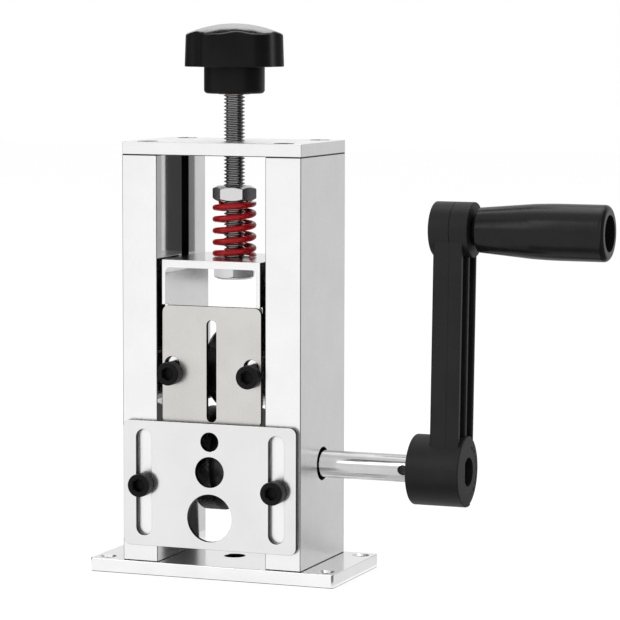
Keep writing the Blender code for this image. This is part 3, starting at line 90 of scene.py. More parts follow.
# Level cards: name, height, front left corner, front right, back right, back left, tone
CARDS = (
    ("card_behind", 0.001, (-0.0065, 0.06), (0.0128, 0.06), (0.052, 0.15), (0.0328, 0.15), 0.03),
    ("card_right", 0.001, (0.0555, -0.029), (0.14, -0.029), (0.14, 0.05), (0.0555, 0.05), 0.80),
    ("card_under", 0.001, (0.06, -0.095), (0.12, -0.095), (0.12, -0.031), (0.06, -0.031), 0.20),
    ("card_top", 0.650, (-0.25, 0.08), (0.1, 0.08), (0.1, 0.24), (-0.25, 0.24), 3.0),
)

# Canopy over the knob: name, elevations seen from its top, tone
CANOPY = (
    ("canopy_1", -4, 10, 0.8),
    ("canopy_2", 10, 18, 1.2),
    ("canopy_3", 18, 25, 1.6),
    ("canopy_4", 25, 35, 2.1),
    ("canopy_5", 35, 60, 0.05),
)

# Lamps: name, place, size, power
LAMPS = (
    ("key", (-0.95, -1.25, 1.15), 1.1, 9.0),
    ("fill", (1.35, -0.75, 0.95), 0.9, 3.0),
    ("top", (0.1, 0.5, 1.7), 1.2, 6.0),
)

# Facets and edges
FINE_SIDES = 96
HOLE_SIDES = 64
SMALL_SIDES = 32
CORNER_STEPS = 10
SMOOTH_ANGLE = radians(32)
OVERRUN = 0.001
SEAT_GAP = 0.0003
TIGHT_GAP = 0.00002
BLOCK_BEVEL = 0.00030
SHEET_BEVEL = 0.00018
WELD_GAP = 1e-6
SIDES = ("left", "right")

# Faces that take a second material, most of them painted shade, by the share of their normal along an
# axis
SLANT_LOW = 0.2
SLANT_HIGH = 0.95
HOLE_FACING = 0.6
SQUARE_FACING = 0.9
SHEET_PAINTED_SHADE_FACING = 0.80
DOME_FACING = 0.4
CROSS_HOLE_FACING = 0.01

# Materials: grain, blotches, the spans of noise that they use, and how the grain runs
GRAIN_DETAIL = 4.0
BLOTCH_DETAIL = 2.0
BLOTCH_SCALE = 60.0
ROUGHNESS_SPAN = (0.3, 0.7)
COLOUR_SPAN = (0.35, 0.65)
EVEN = (1.0, 1.0, 1.0)
UPRIGHT = (1.0, 1.0, 0.04)
LENGTHWISE = (0.04, 1.0, 1.0)

# The nodes that keep their CAD shape, by material
KEPT_NODES = {
    "brass": ("knob_insert",),
    "bracket": ("left_cheek", "right_cheek"),
    "bronze": ("left_guide_key", "right_guide_key", "blade_bush"),
    "shaft": ("blade_axle",),
    "black": (
        "roller_set_screw", "crank_set_screw", "left_axle_screw", "right_axle_screw",
        "left_key_screw_1", "left_key_screw_2", "right_key_screw_1", "right_key_screw_2",
    ),
}

# Base plate
BASE_CORNER_CHAMFER = 0.0010
MOUNT_HOLE_RADIUS = 0.00265
MOUNT_HOLE_FLARE = 0.00095
MOUNT_HOLE_EDGE = (0.0055, 0.0062)
CENTRE_HOLE_RADIUS = 0.0045
CENTRE_HOLE_DEPTH = 0.0045

# Countersunk screws: radius, head radius, length
BASE_SCREW = (0.0025, 0.0046, 0.0180)
TOP_SCREW = (0.0020, 0.0041, 0.0160)
HEAD_RIM = 0.0004
HEAD_SINK = 0.0006
FLAT_SOCKET_WIDTH = 0.0028
FLAT_SOCKET_DEPTH = 0.0018

# Walls
WALL_HOLE_RADIUS = 0.0069
BUSH_LIP = 0.0035
KEY_GROOVE_DEPTH = 0.0034
KEY_GROOVE_WIDTH = 0.0075
KEY_GROOVE_Y = 0.00385
KEY_GROOVE_BOTTOM_Z = 0.0680
TAPPED_HOLE_RADIUS = 0.0049
TAPPED_HOLE_MOUTH = 0.0057

# Guide plate and sight plate
PLATE_CORNER_RADIUS = 0.0030
GUIDE_HOLE_SHIFT = 0.0003
GUIDE_HOLES = ((0.0040, 0.0452), (0.0064, 0.0325), (0.0100, 0.0132))
GUIDE_SLOT = (0.0070, 0.0450)
GUIDE_SLOT_SHIFT = 0.0003
GUIDE_SLOT_RISE = 0.0003
SIGHT_SLOT = (0.0043, 0.0426)
SIGHT_SLOT_TOP_MARGIN = 0.0057
SIGHT_SIDE_SLOT = (0.0068, 0.0103)
SIGHT_SIDE_SLOT_RISE = 0.00175

# Carriage bracket
BRACKET_SEAT_GAP = 0.0003
BRACKET_LEG = 0.0016
BRACKET_WEB = 0.0033
BRACKET_BEND = 0.0022

# Socket-head screws
CAP_HEIGHT = 0.0050
CAP_SHANK_RADIUS = 0.0030
CAP_SOCKET_WIDTH = 0.0050
CAP_SOCKET_DEPTH = 0.0030
CAP_EDGE = 0.0006
CAP_SMOOTH_BAND = 0.0009
KNURL_DEPTH = 0.00016
CAP_KNURL_TEETH = 36
KNURL_WAVE = (0.0, 0.5, 1.0, 0.5)

# Pressure screw, nut and spring
THREAD_PITCH = 0.0015
THREAD_CREST = 0.0045
THREAD_ROOT = 0.00345
THREAD_SIDES = 48
THREAD_RUNOUT = 0.0012
THREAD_ROOT_SHARE = 0.18
THREAD_FLANK_SHARE = 0.34
HEX_HEAD_HEIGHT = 0.0056
HEX_HEAD_FLATS = 0.0166
HEX_HEAD_TURN = radians(48.8)
NUT_FLATS = 0.0162
NUT_TURN = radians(12.9)
NUT_BORE = THREAD_CREST + SEAT_GAP / 2
NUT_FLARE = SEAT_GAP * 1.5
HEX_CHAMFER_SHARE = 0.58
HEX_FLAT_SHARE = 0.875
HEX_EDGE = 0.00015
SPRING_OUTER_RADIUS = 0.0093
WIRE_RADIUS = 0.00125
SPRING_TURNS = 5.37
SPRING_CLOSING_TURNS = 0.80
SPRING_GROUND_DEPTH = 0.0010
SPRING_START_ANGLE = radians(9)
SPRING_POINTS_PER_TURN = 48
WIRE_SIDES = 20

# Knob
KNOB_COLLAR_RADIUS = 0.01275
KNOB_COLLAR_HEIGHT = 0.0112
KNOB_COLLAR_FILLET = 0.0016
KNOB_RADIUS = 0.0206
KNOB_SKIRT_HEIGHT = 0.0141
KNOB_SHOULDER = 0.0014
KNOB_SHOULDER_SWEEP = radians(72)
KNOB_DRAFT = 0.0002
KNOB_EDGE = 0.0004
KNOB_LOBES = 6
KNOB_SCALLOP_DEPTH = 0.0017
KNOB_SCALLOP_DIP = -0.0010
KNOB_SCALLOP_SHARPNESS = 2.0
KNOB_TURN = radians(-65)
KNOB_SIDES = 288
KNOB_DOME_POWER = 2
KNOB_FADE_POWER = 3
INSERT_RADIUS = 0.0065
INSERT_HEIGHT = 0.0140

# Crank
CRANK_RADIUS = 0.0996
CRANK_TILT = radians(2.2)
LOWER_HUB_RADIUS = 0.01465
UPPER_HUB_RADIUS = 0.0114
UPPER_HUB_LENGTH = 0.0169
UPPER_HUB_STANDOUT = 0.0010
ARM_THICKNESS = 0.0123
ARM_HALF_WIDTH = 0.0102
ARM_FACE_INSET = 0.0014
ARM_FLANGE = 0.0023
ARM_RIB = 0.0026
ARM_CHANNEL_DEPTH = 0.0045
ARM_BEVEL = 0.0005
HUB_BORE_LENGTH = 0.0150
SOCKET_RADIUS = 0.0060
SOCKET_FLAT_Y = 0.0046
HUB_STEP_DEPTH = 0.0008
HUB_STEP_Y = 0.0030
HUB_STEP_RADIUS = 0.0108
HUB_GROOVE_WIDTH = 0.0008
PARTING_OFFSET = 0.0069
PARTING_WIDTH = 0.00030
PARTING_RISE = 0.00010

# Grip and its spindle
GRIP_NECK_RADIUS = 0.0093
GRIP_WAIST_RADIUS = 0.01125
GRIP_RADIUS = 0.0116
GRIP_WAIST_SHARE = 0.42
GRIP_BELLY_SHARE = 0.65
GRIP_END_ROUND = 0.0022
GRIP_INNER_ROUND = 0.0007
GRIP_RECESS_RADIUS = 0.0075
GRIP_RECESS_DEPTH = 0.0120
SPINDLE_RADIUS = 0.0040
SPINDLE_ENGAGEMENT = 0.0090
SPINDLE_NECK_RADIUS = 0.0062
SPINDLE_HEAD_RADIUS = 0.0062
SPINDLE_HEAD_HEIGHT = 0.0040
SPINDLE_SOCKET_WIDTH = 0.0050
SPINDLE_SOCKET_DEPTH = 0.0025

# Shaft, roller and blade
CROSS_HOLE_RADIUS = 0.0021
CROSS_HOLE_SETBACK = 0.0039
SHAFT_EDGE = 0.0006
SHAFT_FLAT_DEPTH = 0.0012
SHAFT_FLAT_LENGTH = 0.0090
ROLLER_GROOVE_WIDTH = 0.0050
ROLLER_GROOVE_DEPTH = 0.0032
ROLLER_TEETH = 60
ROLLER_KNURL_STEPS = 20
ROLLER_KNURL_DEPTH = 2 * KNURL_DEPTH
ROLLER_TOOTH_SIDES = 4
ROLLER_TOOTH_SHARPNESS = 3
ROLLER_SCREW_RADIUS = 0.0023
ROLLER_SCREW_SHARE = 0.65
BLADE_BEVEL_DEPTH = 0.0030
BLADE_FLAT_SHARE = 0.15
COLLAR_CHAMFER = 0.0022


# Outlines, as lists of points in a plane


def arc(centre, radius, start, end, steps):
    angles = [start + (end - start) * i / steps for i in range(steps + 1)]
    return [(centre[0] + radius * cos(a), centre[1] + radius * sin(a)) for a in angles]


def circle(centre, radius, sides):
    return arc(centre, radius, 0, 2 * pi, sides)[:-1]


def rounded_rectangle(low, high, radius):
    left, bottom = low[0] + radius, low[1] + radius
    right, top = high[0] - radius, high[1] - radius
    points = []
    for quarter, centre in enumerate(((right, top), (left, top), (left, bottom), (right, bottom))):
        points += arc(centre, radius, quarter * pi / 2, (quarter + 1) * pi / 2, CORNER_STEPS)
    return points


def upright_slot(centre, size):
    radius = size[0] / 2
    reach = size[1] / 2 - radius
    points = arc((centre[0], centre[1] + reach), radius, 0, pi, SMALL_SIDES)
    return points + arc((centre[0], centre[1] - reach), radius, pi, 2 * pi, SMALL_SIDES)


def hexagon(across_flats, turn=0.0, centre=(0.0, 0.0)):
    return arc(centre, across_flats / 2 / cos(pi / 6), turn, turn + 2 * pi, 6)[:-1]


# Solids, as bmesh data

AXES = {
    "X": lambda a, b, along: Vector((along, a, b)),
    "Y": lambda a, b, along: Vector((a, along, b)),
    "Z": lambda a, b, along: Vector((a, b, along)),
}


def prism(outline, axis, start, end):
    place = AXES[axis]
    mesh = bmesh.new()
    near = [mesh.verts.new(place(a, b, start)) for a, b in outline]
    far = [mesh.verts.new(place(a, b, end)) for a, b in outline]
    mesh.faces.new(near)
    mesh.faces.new(far)
    for i, vertex in enumerate(near):
        j = (i + 1) % len(near)
        mesh.faces.new((vertex, near[j], far[j], far[i]))
    bmesh.ops.recalc_face_normals(mesh, faces=mesh.faces)
    return mesh


def block(low, high):
    outline = [(low[0], low[1]), (high[0], low[1]), (high[0], high[1]), (low[0], high[1])]
    return prism(outline, "Z", low[2], high[2])


def side_block(side, near_x, far_x, low, high):
    """A block between two distances from the middle, on one side. low and high are (y, z)."""
    x = sorted((side * near_x, side * far_x))
    return block((x[0], *low), (x[1], *high))


def bridge(mesh, rings, closed):
    """Faces between rings of points. A ring of one point is a tip."""
    verts = [[mesh.verts.new(point) for point in ring] for ring in rings]
    pairs = list(zip(verts, verts[1:]))
    if closed:
        pairs.append((verts[-1], verts[0]))
    for first, second in pairs:
        count = max(len(first), len(second))
        for i in range(count):
            j = (i + 1) % count
            if len(first) == 1:
                mesh.faces.new((first[0], second[i], second[j]))
            elif len(second) == 1:
                mesh.faces.new((first[i], first[j], second[0]))
            else:
                mesh.faces.new((first[i], first[j], second[j], second[i]))
    bmesh.ops.recalc_face_normals(mesh, faces=mesh.faces)
    return verts


def knurled(profile, axis, sides, centre, tooth):
    """Revolves (radius, place along the axis, tooth depth) points. tooth gives the share of the
    depth at a side and a place along. A profile off the axis closes on itself."""
    place = AXES[axis]
    mesh = bmesh.new()
    rings = []
    for radius, along, depth in profile:
        ring = []
        for i in range(sides if radius > 0 else 1):
            angle = 2 * pi * i / sides
            out = radius - depth * tooth(i, along)
            ring.append(place(centre[0] + out * cos(angle), centre[1] + out * sin(angle), along))
        rings.append(ring)
    bridge(mesh, rings, profile[0][0] > 0)
    return mesh


def turned(profile, axis, sides=FINE_SIDES, centre=(0.0, 0.0)):
    smooth = [(radius, along, 0) for radius, along in profile]
    return knurled(smooth, axis, sides, centre, lambda i, along: 0)


def rod(radius, start, end, axis, sides=HOLE_SIDES, centre=(0.0, 0.0)):
    return turned([(0, start), (radius, start), (radius, end), (0, end)], axis, sides, centre)


def tube(outer, inner, start, end, edge, axis, centre=(0.0, 0.0)):
    """A tube with chamfered outer edges. With inner 0 it is a solid rod."""
    profile = [(inner, start), (outer - edge, start), (outer, start + edge)]
    profile += [(outer, end - edge), (outer - edge, end), (inner, end)]
    return turned(profile, axis, FINE_SIDES, centre)


def flare_out(radius, flare, face):
    """The last points of a hole's profile, where it flares out to a face."""
    wide = radius + flare
    return [(radius, face - flare), (wide, face), (wide, face + OVERRUN), (0, face + OVERRUN)]


def flared_hole(radius, flare, slope, low, high, axis, centre=(0.0, 0.0)):
    """A hole that flares out to both of its faces, over a slope of its depth."""
    wide = radius + flare
    profile = [(0, low - OVERRUN), (wide, low - OVERRUN), (wide, low), (radius, low + slope)]
    profile += [(radius, high - slope), (wide, high), (wide, high + OVERRUN), (0, high + OVERRUN)]
    return turned(profile, axis, HOLE_SIDES, centre)


# Pieces


def add_object(name, data):
    added = bpy.data.objects.new(name, data)
    bpy.context.scene.collection.objects.link(added)
    return added


def piece_of(name, mesh):
    data = bpy.data.meshes.new(name)
    mesh.to_mesh(data)
    mesh.free()
    return add_object(name, data)


def settle(piece):
    """Turns the piece's modifiers into mesh."""
    bpy.context.view_layer.update()
    evaluated = piece.evaluated_get(bpy.context.evaluated_depsgraph_get())
    data = bpy.data.meshes.new_from_object(evaluated)
    piece.modifiers.clear()
    piece.data = data


def carve(piece, operation, *meshes):
    for mesh in meshes:
        guide = piece_of("guide", mesh)
        modifier = piece.modifiers.new("carve", "BOOLEAN")
        modifier.operation = operation
        modifier.solver = "EXACT"
        modifier.object = guide
        settle(piece)
        bpy.data.objects.remove(guide)
    return piece


def cut(piece, *meshes):
    return carve(piece, "DIFFERENCE", *meshes)


def round_edges(piece, width, segments=3):
    modifier = piece.modifiers.new("round", "BEVEL")
    modifier.width = width
    modifier.segments = segments
    modifier.limit_method = "ANGLE"
    modifier.angle_limit = SMOOTH_ANGLE
    modifier.use_clamp_overlap = False
    settle(piece)
    return piece


# Filled by main, by kind
MATERIALS = {}


def paint(piece, kind, chosen):
    """Gives the chosen faces of a dressed piece a second material."""
    data = piece.data
    data.materials.append(MATERIALS[kind])
    for face in data.polygons:
        if chosen(face):
            face.material_index = len(data.materials) - 1


def slants(share):
    return SLANT_LOW < abs(share) < SLANT_HIGH


def is_seam(face):
    return slants(face.normal.z)


def is_lower_seam(face):
    return is_seam(face) and face.normal.z < 0


def is_corner(face):
    return slants(face.normal.x) and abs(face.normal.z) < SLANT_LOW


def is_hole(face, high):
    inside = abs(face.center.x) < high.x - OVERRUN and abs(face.center.y) < high.y - OVERRUN
    return inside and abs(face.normal.z) < HOLE_FACING


def body_named(node):
    bodies = frame["record"]["behaviour"]["bodies"]
    return next(body for body, nodes in bodies.items() if node in nodes)


def dress(piece, node, kind):
    """Finishes a piece that stands for a CAD node."""
    data = piece.data
    data.shade_smooth()
    data.set_sharp_from_angle(angle=SMOOTH_ANGLE)
    normals = piece.modifiers.new("normals", "WEIGHTED_NORMAL")
    normals.keep_sharp = True
    data.materials.clear()
    data.materials.append(MATERIALS[kind])
    piece.name = "fine_" + node
    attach(piece, body_named(node))
    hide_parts(node)
    return piece


# Materials


def new_shader(name, colour, metallic, roughness):
    material = bpy.data.materials.new(name)
    material.use_nodes = True
    shader = material.node_tree.nodes["Principled BSDF"]
    shader.inputs["Base Color"].default_value = (*colour, 1.0)
    shader.inputs["Metallic"].default_value = metallic
    shader.inputs["Roughness"].default_value = roughness
    return material, shader


def add_node(tree, kind, **values):
    """A new node with values for its inputs, whose names have _ for spaces."""
    node = tree.nodes.new(kind)
    for name, value in values.items():
        node.inputs[name.replace("_", " ")].default_value = value
    return node


def noise_of(tree, scale, stretch, detail):
    place = add_node(tree, "ShaderNodeTexCoord")
    mapping = add_node(tree, "ShaderNodeMapping", Scale=stretch)
    noise = add_node(tree, "ShaderNodeTexNoise", Scale=scale, Detail=detail)
    tree.links.new(place.outputs["Object"], mapping.inputs["Vector"])
    tree.links.new(mapping.outputs["Vector"], noise.inputs["Vector"])
    return noise.outputs["Fac"]


def vary_roughness(tree, shader, fac, low, high):
    start, end = ROUGHNESS_SPAN
    values = {"From_Min": start, "From_Max": end, "To_Min": low, "To_Max": high}
    ramp = add_node(tree, "ShaderNodeMapRange", **values)
    tree.links.new(fac, ramp.inputs["Value"])
    tree.links.new(ramp.outputs["Result"], shader.inputs["Roughness"])


def vary_colour(tree, shader, fac, low, high):
    ramp = add_node(tree, "ShaderNodeValToRGB")
    for element, position, colour in zip(ramp.color_ramp.elements, COLOUR_SPAN, (low, high)):
        element.position = position
        element.color = (*colour, 1.0)
    tree.links.new(fac, ramp.inputs["Fac"])
    tree.links.new(ramp.outputs["Color"], shader.inputs["Base Color"])


def emboss(tree, shader, fac, depth):
    bump = add_node(tree, "ShaderNodeBump", Strength=1.0, Distance=depth)
    tree.links.new(fac, bump.inputs["Height"])
    tree.links.new(bump.outputs["Normal"], shader.inputs["Normal"])


def surface(name, low, high, metallic, rough, stretch, grain, depth):
    """A material whose colour varies in blotches, and its roughness and bump in its grain."""
    material, shader = new_shader(name, high, metallic, sum(rough) / 2)
    tree = material.node_tree
    fine = noise_of(tree, grain, stretch, GRAIN_DETAIL)
    broad = noise_of(tree, BLOTCH_SCALE, EVEN, BLOTCH_DETAIL)
    vary_colour(tree, shader, broad, low, high)
    vary_roughness(tree, shader, fine, *rough)
    emboss(tree, shader, fine, depth)
    return material, shader


def make_materials():
    metals = (
        ("wall", 0.85, 0.88, (0.27, 0.31), UPRIGHT, 2600, 5e-7),
        ("polished", 0.80, 0.84, (0.02, 0.04), UPRIGHT, 2600, 1e-7),
        # edge: painted shade, a dark grey line on the walls' upright corner bevels
        ("edge", 0.12, 0.16, (0.30, 0.40), UPRIGHT, 2600, 1e-6),
        ("plate", 0.75, 0.78, (0.16, 0.22), EVEN, 2200, 2e-6),
        # rim: near-black painted shade, for lower and slanting bevels, holes, the key grooves and
        # plate edges
        ("rim", 0.007, 0.010, (0.40, 0.50), EVEN, 1600, 4e-6),
        ("base", 0.88, 0.92, (0.13, 0.18), LENGTHWISE, 2400, 1e-6),
        ("bracket", 0.84, 0.88, (0.12, 0.20), EVEN, 2200, 1e-6),
        ("shaft", 0.54, 0.60, (0.12, 0.18), LENGTHWISE, 3000, 1e-6),
        ("nut", 0.66, 0.72, (0.16, 0.22), EVEN, 1400, 1e-6),
        ("thread", 0.27, 0.34, (0.18, 0.26), EVEN, 1600, 2e-6),
        ("tool", 0.035, 0.055, (0.30, 0.42), EVEN, 1500, 3e-6),
    )
    materials = {}
    for kind, low, high, rough, stretch, grain, depth in metals:
        look = surface(f"{kind}_metal", (low,) * 3, (high,) * 3, 1.0, rough, stretch, grain, depth)
        materials[kind] = look[0]
    coloured = (
        ("sight", (0.60, 0.585, 0.565), (0.64, 0.625, 0.605), 1.0, (0.26, 0.34), 1800, 2e-6),
        # bronze, darkened to stand in for the shade in the gaps round the bushes: partly real bronze,
        # partly painted shade
        ("bronze", (0.10, 0.070, 0.035), (0.15, 0.105, 0.055), 1.0, (0.35, 0.50), 1600, 6e-6),
        ("brass", (0.20, 0.145, 0.06), (0.25, 0.18, 0.08), 1.0, (0.30, 0.40), 1600, 2e-6),
        ("black", (0.004, 0.004, 0.004), (0.007, 0.007, 0.007), 0.0, (0.30, 0.42), 1800, 4e-6),
        ("red", (0.36, 0.001, 0.003), (0.43, 0.002, 0.004), 0.0, (0.18, 0.24), 900, 2e-6),
        ("gloss", (0.005, 0.005, 0.006), (0.008, 0.008, 0.009), 0.0, (0.20, 0.28), 700, 3e-6),
        ("sheen", (0.005, 0.005, 0.006), (0.008, 0.008, 0.009), 0.0, (0.10, 0.16), 700, 1e-6),
        ("matte", (0.006, 0.006, 0.006), (0.009, 0.009, 0.009), 0.0, (0.40, 0.50), 2600, 8e-6),
    )
    dull = {"black": 0.10, "red": 0.25, "gloss": 0.20, "matte": 0.22}
    for kind, low, high, metallic, rough, grain, depth in coloured:
        material, shader = surface(f"{kind}_finish", low, high, metallic, rough, EVEN, grain, depth)
        if kind in dull:
            shader.inputs["Specular IOR Level"].default_value = dull[kind]
        materials[kind] = material
    return materials


# Screws


def middle_of(node):
    low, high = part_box(node)
    return (low + high) / 2


def round_size(node):
    """The radius of a round node along X, and its axis as (y, z)."""
    low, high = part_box(node)
    return (high.z - low.z) / 2, (0.0, (low.z + high.z) / 2)


def shaft_bore():
    return round_size("drive_shaft")[0] + SEAT_GAP


def flat_hole(sizes, axis, face, outward, centre):
    """The hole for a countersunk screw that is sunk below a face. outward is the face's side."""
    radius, head_radius, length = sizes
    wide = radius + SEAT_GAP
    rim = head_radius + SEAT_GAP
    cone = HEAD_SINK + HEAD_RIM
    profile = [(0, OVERRUN), (rim, OVERRUN), (rim, -cone), (wide, -cone - (head_radius - radius))]
    profile += [(wide, -HEAD_SINK - length - SEAT_GAP), (0, -HEAD_SINK - length - SEAT_GAP)]
    return turned([(r, face + outward * along) for r, along in profile], axis, HOLE_SIDES, centre)


def make_flat_screw(node, sizes, outward):
    radius, head_radius, length = sizes
    low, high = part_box(node)
    top = high.z if outward > 0 else low.z
    centre = ((low.x + high.x) / 2, (low.y + high.y) / 2)
    edge = HEAD_RIM / 2
    profile = [(0, 0), (head_radius - edge, 0), (head_radius, -edge), (head_radius, -HEAD_RIM)]
    profile += [(radius, -HEAD_RIM - (head_radius - radius)), (radius, -length), (0, -length)]
    profile = [(r, top + outward * z) for r, z in profile]
    screw = piece_of(node, turned(profile, "Z", HOLE_SIDES, centre))
    ends = sorted((top - outward * FLAT_SOCKET_DEPTH, top + outward * OVERRUN))
    cut(screw, prism(hexagon(FLAT_SOCKET_WIDTH, 0.0, centre), "Z", *ends))
    dress(screw, node, "black")


def make_cap_screw(node):
    low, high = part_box(node)
    radius = (high.x - low.x) / 2
    centre = ((low.x + high.x) / 2, (low.z + high.z) / 2)
    front = low.y
    seat = front + CAP_HEIGHT
    band = front + CAP_SMOOTH_BAND
    core = radius - CAP_EDGE
    shank = CAP_SHANK_RADIUS
    knurl = KNURL_DEPTH
    profile = [(0, front, 0), (core, front, 0), (radius - CAP_EDGE / 4, front + CAP_EDGE / 4, 0)]
    profile += [(radius, front + CAP_EDGE, 0), (radius, band, 0), (radius, band + knurl, knurl)]
    profile += [(radius, seat - knurl, knurl), (radius - knurl, seat, 0), (shank, seat, 0)]
    profile += [(shank, high.y - CAP_EDGE, 0), (shank - CAP_EDGE, high.y, 0), (0, high.y, 0)]
    steps = len(KNURL_WAVE)
    teeth = knurled(profile, "Y", CAP_KNURL_TEETH * steps, centre, lambda i, y: KNURL_WAVE[i % steps])
    screw = piece_of(node, teeth)
    outline = hexagon(CAP_SOCKET_WIDTH, pi / 6, centre)
    mouth_radius = CAP_SOCKET_WIDTH / 2 / cos(pi / 6)
    mouth = [(0, front - OVERRUN), (mouth_radius + OVERRUN, front - OVERRUN)]
    mouth += [(mouth_radius - OVERRUN / 2, front + OVERRUN / 2), (0, front + OVERRUN / 2)]
    socket = prism(outline, "Y", front - OVERRUN, front + CAP_SOCKET_DEPTH)
    cut(screw, socket, turned(mouth, "Y", HOLE_SIDES, centre))
    dress(screw, node, "black")


def make_screws():
    for number in range(1, 5):
        make_flat_screw(f"top_screw_{number}", TOP_SCREW, 1)
        make_flat_screw(f"base_screw_{number}", BASE_SCREW, -1)
    for side in SIDES:
        make_cap_screw(f"{side}_guide_screw")
        make_cap_screw(f"{side}_sight_screw")


# Frame


def flat_holes(kind, sizes, face, outward):
    places = [middle_of(f"{kind}_screw_{number}") for number in range(1, 5)]
    return [flat_hole(sizes, "Z", face, outward, (place.x, place.y)) for place in places]


def make_base_plate():
    low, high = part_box("base_plate")
    chamfer = BASE_CORNER_CHAMFER
    outline = []
    for sx, sy in ((1, 1), (-1, 1), (-1, -1), (1, -1)):
        long_end = (sx * high.x, sy * (high.y - chamfer))
        short_end = (sx * (high.x - chamfer), sy * high.y)
        outline += [long_end, short_end] if sx * sy > 0 else [short_end, long_end]
    plate = piece_of("base_plate", prism(outline, "Z", low.z, high.z))
    round_edges(plate, BLOCK_BEVEL)

    mount_hole = [(0, low.z - OVERRUN), (MOUNT_HOLE_RADIUS, low.z - OVERRUN)]
    mount_hole += flare_out(MOUNT_HOLE_RADIUS, MOUNT_HOLE_FLARE, high.z)
    x = high.x - MOUNT_HOLE_EDGE[0]
    y = high.y - MOUNT_HOLE_EDGE[1]
    places = [(sx * x, sy * y) for sx in (-1, 1) for sy in (-1, 1)]
    holes = [turned(mount_hole, "Z", HOLE_SIDES, place) for place in places]
    holes.append(rod(CENTRE_HOLE_RADIUS, high.z - CENTRE_HOLE_DEPTH, high.z + OVERRUN, "Z"))
    mouth = [(0, high.z - SHEET_BEVEL)] + flare_out(CENTRE_HOLE_RADIUS, SHEET_BEVEL, high.z)
    holes.append(turned(mouth, "Z", HOLE_SIDES))
    holes += flat_holes("base", BASE_SCREW, low.z, -1)
    dress(cut(plate, *holes), "base_plate", "base")
    # Painted shade: near-black on the plate's lower bevels and inside its holes.
    paint(plate, "rim", lambda face: is_lower_seam(face) or is_hole(face, high))


def in_groove(face):
    across = abs(face.normal.y) > SQUARE_FACING
    return across and abs(face.center.y - KEY_GROOVE_Y) < KEY_GROOVE_WIDTH


def make_wall(side_name, side):
    low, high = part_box(f"{side_name}_wall")
    inner, outer = sorted((abs(low.x), abs(high.x)))
    base_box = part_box("base_plate")
    top_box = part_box("top_plate")
    low.z = base_box[1].z + TIGHT_GAP
    high.z = top_box[0].z - TIGHT_GAP
    wall = round_edges(piece_of("wall", block(low, high)), BLOCK_BEVEL)

    shaft = middle_of("drive_shaft")
    seat_radius = round_size(f"{side_name}_shaft_bush")[0] + SEAT_GAP
    step_x = outer - BUSH_LIP
    bore = [(0, inner - OVERRUN), (seat_radius, inner - OVERRUN), (seat_radius, step_x)]
    bore += [(WALL_HOLE_RADIUS, step_x)] + flare_out(WALL_HOLE_RADIUS, SHEET_BEVEL, outer)
    bore = turned([(r, side * x) for r, x in bore], "X", FINE_SIDES, (0, shaft.z))

    half = KEY_GROOVE_WIDTH / 2
    groove_low = (KEY_GROOVE_Y - half, KEY_GROOVE_BOTTOM_Z)
    groove_high = (KEY_GROOVE_Y + half, high.z + OVERRUN)
    groove = side_block(side, inner - OVERRUN, inner + KEY_GROOVE_DEPTH, groove_low, groove_high)

    screw_low, screw_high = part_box(f"{side_name}_guide_screw")
    centre = ((screw_low.x + screw_high.x) / 2, (screw_low.z + screw_high.z) / 2)
    end = screw_high.y + SEAT_GAP
    thread = rod(CAP_SHANK_RADIUS + SEAT_GAP, low.y - OVERRUN, end, "Y", centre=centre)
    screws = flat_holes("base", BASE_SCREW, base_box[0].z, -1)
    screws += flat_holes("top", TOP_SCREW, top_box[1].z, 1)
    dress(cut(wall, bore, groove, thread, *screws), f"{side_name}_wall", "wall")
    paint(wall, "polished", lambda face: face.normal.x * side < -SQUARE_FACING)
    # Painted shade: near-black on the slanting bevels and in the key groove, and dark grey lines on
    # the upright corner bevels.
    paint(wall, "rim", lambda face: is_seam(face) or in_groove(face))
    paint(wall, "edge", is_corner)


def make_top_plate():
    low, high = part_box("top_plate")
    plate = round_edges(piece_of("top_plate", block(low, high)), BLOCK_BEVEL)
    flare = TAPPED_HOLE_MOUTH - TAPPED_HOLE_RADIUS
    hole = flared_hole(TAPPED_HOLE_RADIUS, flare, flare, low.z, high.z, "Z")
    cut(plate, hole, *flat_holes("top", TOP_SCREW, high.z, 1))
    dress(plate, "top_plate", "wall")
    # Painted shade: near-black on the plate's lower bevels and inside its holes.
    paint(plate, "rim", lambda face: is_lower_seam(face) or is_hole(face, high))


def make_bush(node, kind):
    low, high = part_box(node)
    outer, centre = round_size(node)
    bush = tube(outer, shaft_bore(), low.x, high.x, SHEET_BEVEL, "X", centre)
    dress(piece_of(node, bush), node, kind)


# Guide plate and sight plate


def blank_sheet(node):
    """A plate with round corners, and the two ends of what is cut through it."""
    low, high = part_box(node)
    outline = rounded_rectangle((low.x, low.z), (high.x, high.z), PLATE_CORNER_RADIUS)
    return piece_of(node, prism(outline, "Y", low.y, high.y)), (low.y - OVERRUN, high.y + OVERRUN)


def finish_sheet(plate, node, kind):
    dress(round_edges(plate, SHEET_BEVEL), node, kind)
    # Painted shade: near-black on the plate's edges and on the walls of its holes and slots.
    paint(plate, "rim", lambda face: abs(face.normal.y) < SHEET_PAINTED_SHADE_FACING)


def make_guide_plate():
    low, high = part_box("guide_plate")
    plate, ends = blank_sheet("guide_plate")
    for radius, height in GUIDE_HOLES:
        centre = (GUIDE_HOLE_SHIFT, low.z + height)
        cut(plate, rod(radius, *ends, "Y", FINE_SIDES, centre))
    for side in SIDES:
        screw = middle_of(f"{side}_guide_screw")
        centre = (screw.x + GUIDE_SLOT_SHIFT, (low.z + high.z) / 2 + GUIDE_SLOT_RISE)
        cut(plate, prism(upright_slot(centre, GUIDE_SLOT), "Y", *ends))
    finish_sheet(plate, "guide_plate", "plate")


